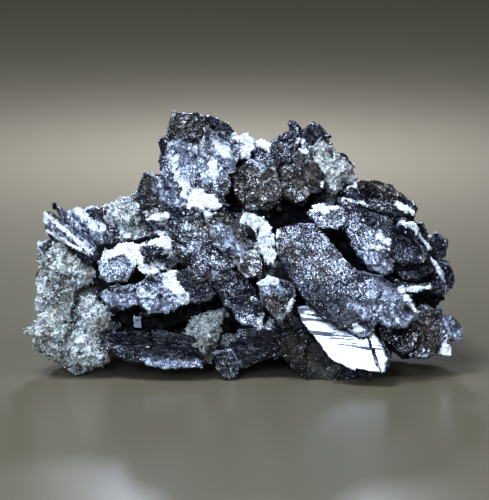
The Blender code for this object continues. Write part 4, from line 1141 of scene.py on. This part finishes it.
class Finish:
    """A new material with its Principled shader, and short ways to add nodes to it. Sizes are in mm."""

    def __init__(self, name, rough, ior):
        self.material = bpy.data.materials.new(name)
        self.material.use_nodes = True
        self.tree = self.material.node_tree
        self.shader = self.tree.nodes["Principled BSDF"]
        self.set("Roughness", rough)
        self.set("IOR", ior)
        place = self.put("TexCoord").outputs["Object"]
        self.place = self.put("Mapping", {"Vector": place, "Scale": (1 / MILLIMETRE,) * 3}).outputs[0]

    def put(self, kind, inputs=None, **settings):
        """A node in this material's tree."""
        return put(self.tree, kind, inputs, **settings)

    def set(self, name, value):
        """Sets one of the shader's inputs, or links it."""
        connect(self.tree, self.shader.inputs[name], value)

    def marks(self, *names):
        """Some of the marks that a piece carries at its points."""
        return [self.put("Attribute", attribute_name=name).outputs["Fac"] for name in names]

    def mottle(self, size, low, high):
        """Soft patches of a size, sharpened between two levels."""
        given = {"Place": self.place, "Size": size, "Low": low, "High": high}
        return self.put("Group", given, node_tree=mottle).outputs["Mask"]

    def flecks(self, size, share, place=None):
        """Angular specks of a size that cover more as the share rises."""
        given = {"Place": place or self.place, "Size": size, "Share": share}
        return self.put("Group", given, node_tree=flecks).outputs["Mask"]

    def cells(self, size):
        """A random number from 0 to 1 for each flat grain of a size."""
        given = {"Place": self.place, "Size": size, "Tilt": 0.0}
        return self.put("Group", given, node_tree=glints).outputs["Shade"]

    def glitter(self, sizes, tilt):
        """Links a bump of tiny tilted grains of two sizes to the shader."""
        heights = [
            self.put("Group", {"Place": self.place, "Size": size, "Tilt": tilt}, node_tree=glints)
            for size in sizes
        ]
        height = self.plus(*[made.outputs["Height"] for made in heights])
        bump = self.put("Bump", {"Height": height, "Distance": MILLIMETRE, "Strength": 1.0})
        self.set("Normal", bump.outputs[0])

    def mix(self, share, first, second):
        """A colour between two, by a share."""
        made = self.put("Mix", data_type="RGBA")
        for number, value in ((0, share), (6, first), (7, second)):
            connect(self.tree, made.inputs[number], (*value, 1.0) if isinstance(value, tuple) else value)
        return made.outputs[2]

    def math(self, operation, *values):
        """Several values put together by one kind of sum."""
        total = values[0]
        for value in values[1:]:
            total = self.put("Math", {0: total, 1: value}, operation=operation).outputs[0]
        return total

    def plus(self, *values):
        """The sum of several values."""
        return self.math("ADD", *values)

    def times(self, *values):
        """The product of several values."""
        return self.math("MULTIPLY", *values)


def make_axinite():
    """Clove-brown to blue-black crystal, glossy, with pale flecks that are partly painted glints, a painted
    blue-white sheen, white crust, painted edge highlights, painted shadow lines, painted shade in hollows
    and a painted reflection on the mirror face.
    """
    stone = Finish("axinite", 0.3, 1.68)
    crust, dust, brown, blue, painted_sheen, hollow_and_painted_shade, rim, gleam, painted_shade_lines = stone.marks(
        "crust", "dust", "brown", "blue", "painted_sheen", "hollow_and_painted_shade", "rim", "gleam", "painted_shade_lines"
    )
    broad = stone.mottle(3.2, 0.38, 0.62)
    soft = stone.mottle(1.3, 0.36, 0.64)
    fine = stone.mottle(0.7, 0.42, 0.62)
    lively = stone.mottle(1.6, 0.42, 0.6)
    matt = stone.math("SUBTRACT", 1.0, gleam)

    dark = stone.mix(broad, (0.002, 0.002, 0.005), (0.007, 0.0065, 0.01))
    mottled = stone.times(stone.plus(soft, broad), 0.5)
    dark = stone.mix(blue, dark, stone.mix(mottled, (0.004, 0.0045, 0.01), (0.014, 0.016, 0.036)))
    clove = stone.mix(soft, (0.01, 0.008, 0.007), (0.055, 0.044, 0.04))
    colour = stone.mix(brown, dark, clove)
    # A grey-blue painted sheen where the dusting is thick.
    colour = stone.mix(stone.times(fine, dust, 0.4), colour, (0.035, 0.042, 0.07))

    # The painted blue-white sheen: grains of colour from dark to bright where the sheen mark lies.
    cell = stone.cells(0.5)
    bright = stone.times(cell, cell, stone.plus(soft, 0.25))
    colour = stone.mix(painted_sheen, colour, stone.mix(bright, (0.035, 0.042, 0.065), (0.6, 0.67, 0.84)))
    # Pale specks of the dusting, partly painted glints, in the blue-white of the highlights.
    stretch = {"Vector": stone.place, "Rotation": (0.3, 0.6, 0.2), "Scale": (1.0, 0.4, 1.0)}
    needles = stone.put("Mapping", stretch)
    specks = stone.math("MAXIMUM", stone.flecks(0.2, dust), stone.flecks(0.3, dust, needles.outputs[0]))
    specks = stone.times(specks, matt)
    colour = stone.mix(specks, colour, (0.74, 0.82, 1.0))
    # A painted reflection: the mirror face's colour is a light blue-grey.
    colour = stone.mix(gleam, colour, (0.55, 0.62, 0.76))
    # Painted shadow lines and streaks, dark blue-black.
    colour = stone.mix(stone.times(painted_shade_lines, 0.85), colour, (0.02, 0.024, 0.04))

    white = stone.mix(fine, (0.66, 0.71, 0.78), (0.95, 0.97, 0.99))
    white = stone.mix(stone.times(stone.flecks(0.3, 0.55), 0.75), white, (0.16, 0.18, 0.23))
    colour = stone.mix(crust, colour, white)
    # The painted highlight along the edges, pale blue-grey.
    colour = stone.mix(rim, colour, (0.6, 0.65, 0.74))
    # Painted shade in the hollows, almost black.
    colour = stone.mix(stone.times(hollow_and_painted_shade, 0.9), colour, (0.003, 0.003, 0.004))
    stone.set("Base Color", colour)

    rough = stone.plus(stone.times(fine, 0.12), 0.13)
    for share, more in ((specks, 0.2), (crust, 0.4), (painted_shade_lines, 0.4), (painted_sheen, 0.2), (hollow_and_painted_shade, 0.5)):
        rough = stone.plus(rough, stone.times(share, more))
    stone.set("Roughness", rough)
    polished = stone.math("SUBTRACT", gleam, painted_shade_lines)
    shine = stone.put("MapRange", {"Value": polished, "To Min": 0.5, "To Max": 0.9})
    stone.set("Specular IOR Level", shine.outputs["Result"])
    stone.glitter((0.45, 0.22), stone.times(matt, stone.plus(stone.times(lively, dust), 0.2), 2.2))
    return stone.material


def make_axinite_in_painted_shade():
    """The crystal at the bottom of the clefts: a copy of the axinite painted almost black as shade, and
    dull, with a few flecks.
    """
    stone = Finish("axinite in painted shade", 0.5, 1.6)
    stone.set("Specular IOR Level", 0.12)
    broad = stone.mottle(1.4, 0.38, 0.62)
    colour = stone.mix(broad, (0.001, 0.001, 0.002), (0.005, 0.005, 0.007))
    stone.set("Base Color", stone.mix(stone.flecks(0.3, 0.1), colour, (0.12, 0.13, 0.16)))
    stone.set("Roughness", stone.plus(stone.times(broad, 0.3), 0.45))
    return stone.material


def make_rock():
    """Pale grey-green rock, mottled with white, with dark veins and painted shade in its hollows, lightly
    glittering.
    """
    stone = Finish("pale rock", 0.5, 1.55)
    crust, dark = stone.marks("crust", "dark")
    fine = stone.mottle(0.5, 0.38, 0.62)
    grey = stone.mix(stone.mottle(2.6, 0.4, 0.6), (0.66, 0.69, 0.71), (0.96, 0.98, 1.0))
    grey = stone.mix(stone.times(stone.mottle(5.0, 0.45, 0.6), 0.6), grey, (0.7, 0.66, 0.5))
    grey = stone.mix(stone.times(stone.mottle(7.0, 0.44, 0.6), 0.6), grey, (0.2, 0.19, 0.16))
    cell = stone.cells(0.7)
    darker = stone.times(stone.plus(stone.times(cell, cell), fine), 0.33)
    colour = stone.mix(darker, grey, (0.07, 0.07, 0.066))
    colour = stone.mix(crust, colour, stone.mix(fine, (0.78, 0.84, 0.84), (0.4, 0.45, 0.44)))
    # The dark mark holds the dark veins and the painted shade of the rock's hollows.
    colour = stone.mix(stone.times(dark, 0.85), colour, (0.025, 0.022, 0.02))
    stone.set("Base Color", stone.mix(stone.flecks(0.35, 0.75), colour, (0.9, 0.94, 1.0)))
    stone.set("Roughness", stone.plus(stone.times(fine, 0.25), 0.3))
    stone.glitter((0.55, 0.22), 5.0)
    return stone.material


def make_sugar():
    """The small white crystals of the crust and the dusting."""
    stone = Finish("white grains", 0.35, 1.5)
    stone.set("Base Color", stone.mix(stone.mottle(0.6, 0.35, 0.65), (0.6, 0.64, 0.72), (0.9, 0.92, 0.96)))
    return stone.material


# ---------------------------------------------------------------- making the pieces


def make_piece(name, shells, material, node):
    """One mesh of several shells, moved onto the floor and made metres, with its marks as attributes."""
    starts = np.cumsum([0] + [len(s["points"]) for s in shells])
    points = onto_floor(np.concatenate([s["points"] for s in shells]))
    points[:, 2] = np.maximum(points[:, 2], 0.0)
    # The sheet's axes are left-handed, so each triangle is turned round to face outward in the world.
    triangles = np.concatenate([s["triangles"][:, ::-1] + start for s, start in zip(shells, starts)])
    smooth = np.concatenate([np.full(len(s["triangles"]), s["smooth"]) for s in shells])
    mesh = bpy.data.meshes.new(name)
    mesh.vertices.add(len(points))
    mesh.loops.add(triangles.size)
    mesh.polygons.add(len(triangles))
    mesh.vertices.foreach_set("co", (points * MILLIMETRE).ravel())
    mesh.loops.foreach_set("vertex_index", triangles.ravel().astype(np.int32))
    mesh.polygons.foreach_set("loop_start", np.arange(0, triangles.size, 3, dtype=np.int32))
    mesh.polygons.foreach_set("use_smooth", smooth)
    for label in shells[0]["marks"]:
        values = np.concatenate([s["marks"][label] for s in shells])
        mesh.attributes.new(label, "FLOAT", "POINT").data.foreach_set("value", values.astype(np.float32))
    mesh.update(calc_edges=True)
    mesh.materials.append(material)
    piece = bpy.data.objects.new(name, mesh)
    bpy.context.scene.collection.objects.link(piece)
    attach(piece, "root")
    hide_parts(node)


mottle = make_mottle()
flecks = make_flecks()
glints = make_glints()
axinite = make_axinite()
axinite_in_painted_shade = make_axinite_in_painted_shade()
pale_rock = make_rock()
sugar = make_sugar()

# Each group's name, its blades, and the finish that they share. Rim sets the painted highlight along
# the blades' edges.
LAYOUT = (
    ("left_peak", LEFT_PEAK, {"grit": 1.0, "dust": 0.1, "rim": 0.4, "scaly": 1.0}),
    ("right_peak", RIGHT_PEAK, {"grit": 0.8, "dust": 0.1, "rim": 0.15, "scaly": 0.8}),
    ("middle_slab", MIDDLE, {"grit": 0.9, "dust": 0.22, "rim": 0.4, "scaly": 0.7}),
    ("front_blades", FRONT, {"grit": 0.35, "dust": 0.05, "rim": 0.4, "scaly": 0.3}),
    ("right_tiles", TILES, {"grit": 0.4, "dust": -0.02, "rim": 0.15, "scaly": 0.6}),
    ("left_blocks", BLOCKS, {"grit": 0.5, "dust": 0.05, "rim": 0.35, "scaly": 0.5}),
    ("left_spray", SPRAY, {
        "grit": 0.15, "ragged": 0.5, "dust": 0.1, "rim": 0.9, "scaly": 0.3, **SHINGLED, "tread": 0.8,
    }),
    ("back_blades", BACK, {"grit": 0.6, "dust": 0.12, "rim": 0.2, "scaly": 0.8}),
)
YOUNG = {**PLAIN, "dust": 0.1, "rim": 0.6}
# Which of the lumps make up each group of rock.
ROCK_NAMES = {
    "rock_left": (1, 2, 3, 4, 5, 6, 22),
    "rock_front": (7, 21, 9, 10, 11, 12, 13, 26),
    "rock_back": (8, 17, 18, 19, 20, 23, 24, 27, 29),
    "rock_core": (0, 14, 15, 16, 25, 28),
}

blades = [(name, {**PLAIN, **finish, **spec}) for name, table, finish in LAYOUT for spec in table]
lumps = [(name, member) for name, members in ROCK_NAMES.items() for member in members]
solids = [
    solid_of(np.vstack(rings_of(spec["face"], spec["inward"], spec["thick"], spec["taper"], number)[:3]))
    for number, (_, spec) in enumerate(blades)
]
solids += [solid_of(lump_points(member, *LUMPS[member])) for _, member in lumps]
crowding = make_crowding(solids)

blade_shells = {}
for number, (name, spec) in enumerate(blades):
    group = "cleft_floors" if spec["deep"] else name
    blade_shells.setdefault(group, []).append((number, blade_mesh(spec, number, crowding)))
rock_shells = {}
for number, (name, member) in enumerate(lumps, len(blades)):
    spacing = CORE_SPACING if member == 0 else ROCK_SPACING
    rock_shells.setdefault(name, []).append((number, lump_mesh(member, *LUMPS[member], spacing, crowding)))



def young_density(shell_made):
    """How many young blades grow on each square mm at each point of a blade."""
    return 0.5 * shell_made["scaly"]


def dust_density(shell_made):
    """The same for the white grains on a blade: most in the crust, some where the dusting is thick."""
    return 6.0 * shell_made["marks"]["crust"] + 2.4 * shell_made["marks"]["dust"] ** 3


def crumb_density(shell_made):
    """The same for the rock's crumbs, which lie evenly all over."""
    return np.full(len(shell_made["points"]), 0.5)


def rock_grain_density(shell_made):
    """The same for the white grains on the rock."""
    return 1.6 * shell_made["marks"]["crust"] + 0.3


for name, members in blade_shells.items():
    shells = [s for _, s in members]
    # The cleft floors take the axinite painted almost black as shade.
    if name == "cleft_floors":
        make_piece(name, shells, axinite_in_painted_shade, "crystals")
        continue
    young = young_blades(members, solids, young_density, crowding, len(name) + YOUNG_SEED)
    make_piece(name, shells, axinite, "crystals")
    make_piece(name + "_young", [young], axinite, "crystals")
    grains = grains_on(members, solids, dust_density, DUST_SIZE, len(name))
    make_piece(name + "_grains", [grains], sugar, "crystals")
for name, members in rock_shells.items():
    make_piece(name, [s for _, s in members], pale_rock, "matrix")
    crumbs = grains_on(members, solids, crumb_density, CRUMB_SIZE, len(name) + CRUMB_SEED, 0.0)
    make_piece(name + "_crumbs", [crumbs], pale_rock, "matrix")
    grains = grains_on(members, solids, rock_grain_density, ROCK_GRAIN_SIZE, len(name) + ROCK_GRAIN_SEED)
    make_piece(name + "_grains", [grains], sugar, "matrix")


# ---------------------------------------------------------------- floor, light and camera


def aim(thing, place, target):
    """Puts a light or camera at a place and points it at a target."""
    thing.location = place
    thing.rotation_euler = (Vector(target) - Vector(place)).to_track_quat("-Z", "Y").to_euler()


def soft_box(name, azimuth, elevation, distance, width, height, power, colour):
    """A rectangular soft light that looks at the specimen from a bearing (0 is the front, 90 the right)."""
    data = bpy.data.lights.new(name, "AREA")
    data.shape = "RECTANGLE"
    data.size = width
    data.size_y = height
    data.energy = power
    data.color = colour
    lamp = bpy.data.objects.new(name, data)
    bpy.context.scene.collection.objects.link(lamp)
    a, e = math.radians(azimuth), math.radians(elevation)
    middle = Vector((0.0, 0.0, 0.02))
    away = Vector((math.sin(a) * math.cos(e), -math.cos(a) * math.cos(e), math.sin(e)))
    aim(lamp, middle + away * distance, middle)
    return lamp


def make_sweep():
    """A seamless floor: a profile of flat, quarter circle and wall, carried across."""
    reach, radius, width = 0.9, 0.9, 4.0
    turn = np.linspace(0, math.pi / 2, 33)
    y = np.concatenate([[-3.0, 0.0], reach + radius * np.sin(turn), [reach + radius]])
    z = np.concatenate([[0.0, 0.0], radius - radius * np.cos(turn), [3.0]])
    left = np.column_stack([np.full_like(y, -width / 2), y, z])
    right = left * (-1, 1, 1)
    points = np.stack([left, right], 1).reshape(-1, 3)
    low = 2 * np.arange(len(y) - 1)[:, None]
    mesh = bpy.data.meshes.new("floor")
    mesh.from_pydata(points.tolist(), [], (low + [0, 1, 3, 2]).tolist())
    mesh.polygons.foreach_set("use_smooth", [True] * len(mesh.polygons))
    material = bpy.data.materials.new("pale floor")
    material.use_nodes = True
    shader = material.node_tree.nodes["Principled BSDF"]
    shader.inputs["Base Color"].default_value = (0.21, 0.19, 0.142, 1.0)
    shader.inputs["Roughness"].default_value = 0.28
    mesh.materials.append(material)
    floor = bpy.data.objects.new("floor", mesh)
    bpy.context.scene.collection.objects.link(floor)


make_sweep()
soft_box("key_box", -15.5, 24, 1.1, 0.36, 0.3, 6.5, (0.74, 0.85, 1.0))
soft_box("high_box", 12, 56, 1.0, 0.3, 0.25, 0.9, (0.7, 0.82, 1.0))
soft_box("top_box", -48, 64, 1.0, 0.35, 0.35, 8, (0.84, 0.91, 1.0))
soft_box("low_fill", 20, 9, 1.1, 0.5, 0.2, 2.2, (0.86, 0.92, 1.0))
soft_box("left_box", -66, 34, 1.0, 0.2, 0.35, 2.5, (0.8, 0.88, 1.0))
soft_box("right_box", 55, 50, 1.0, 0.25, 0.3, 2, (0.9, 0.94, 1.0))
glow = soft_box("back_glow", 0, 60, 0.5, 0.05, 0.04, 0.45, (0.76, 0.8, 1.0))
aim(glow, Vector((0.0, 0.2, 0.12)), Vector((0.0, 0.2, 0.0)))

world = bpy.data.worlds.new("room")
world.use_nodes = True
world.node_tree.nodes["Background"].inputs[0].default_value = (0.9, 0.93, 1.0, 1.0)
world.node_tree.nodes["Background"].inputs[1].default_value = 0.035
bpy.context.scene.world = world
bpy.context.scene.view_settings.view_transform = "Standard"
bpy.context.scene.view_settings.exposure = 0.25
bpy.context.scene.view_settings.gamma = 0.74

TARGET = (-0.08, 21.33, 12.0)  # the sheet's place that the camera looks at
DISTANCE = 0.463
target = Vector(onto_floor([TARGET])[0] * MILLIMETRE)
camera = bpy.data.objects.new("camera", bpy.data.cameras.new("camera"))
camera.data.lens = 200
camera.data.clip_start = 0.01
bpy.context.scene.collection.objects.link(camera)
aim(camera, target + DISTANCE * Vector((0.0, -math.cos(LEAN), math.sin(LEAN))), target)
bpy.context.scene.camera = camera
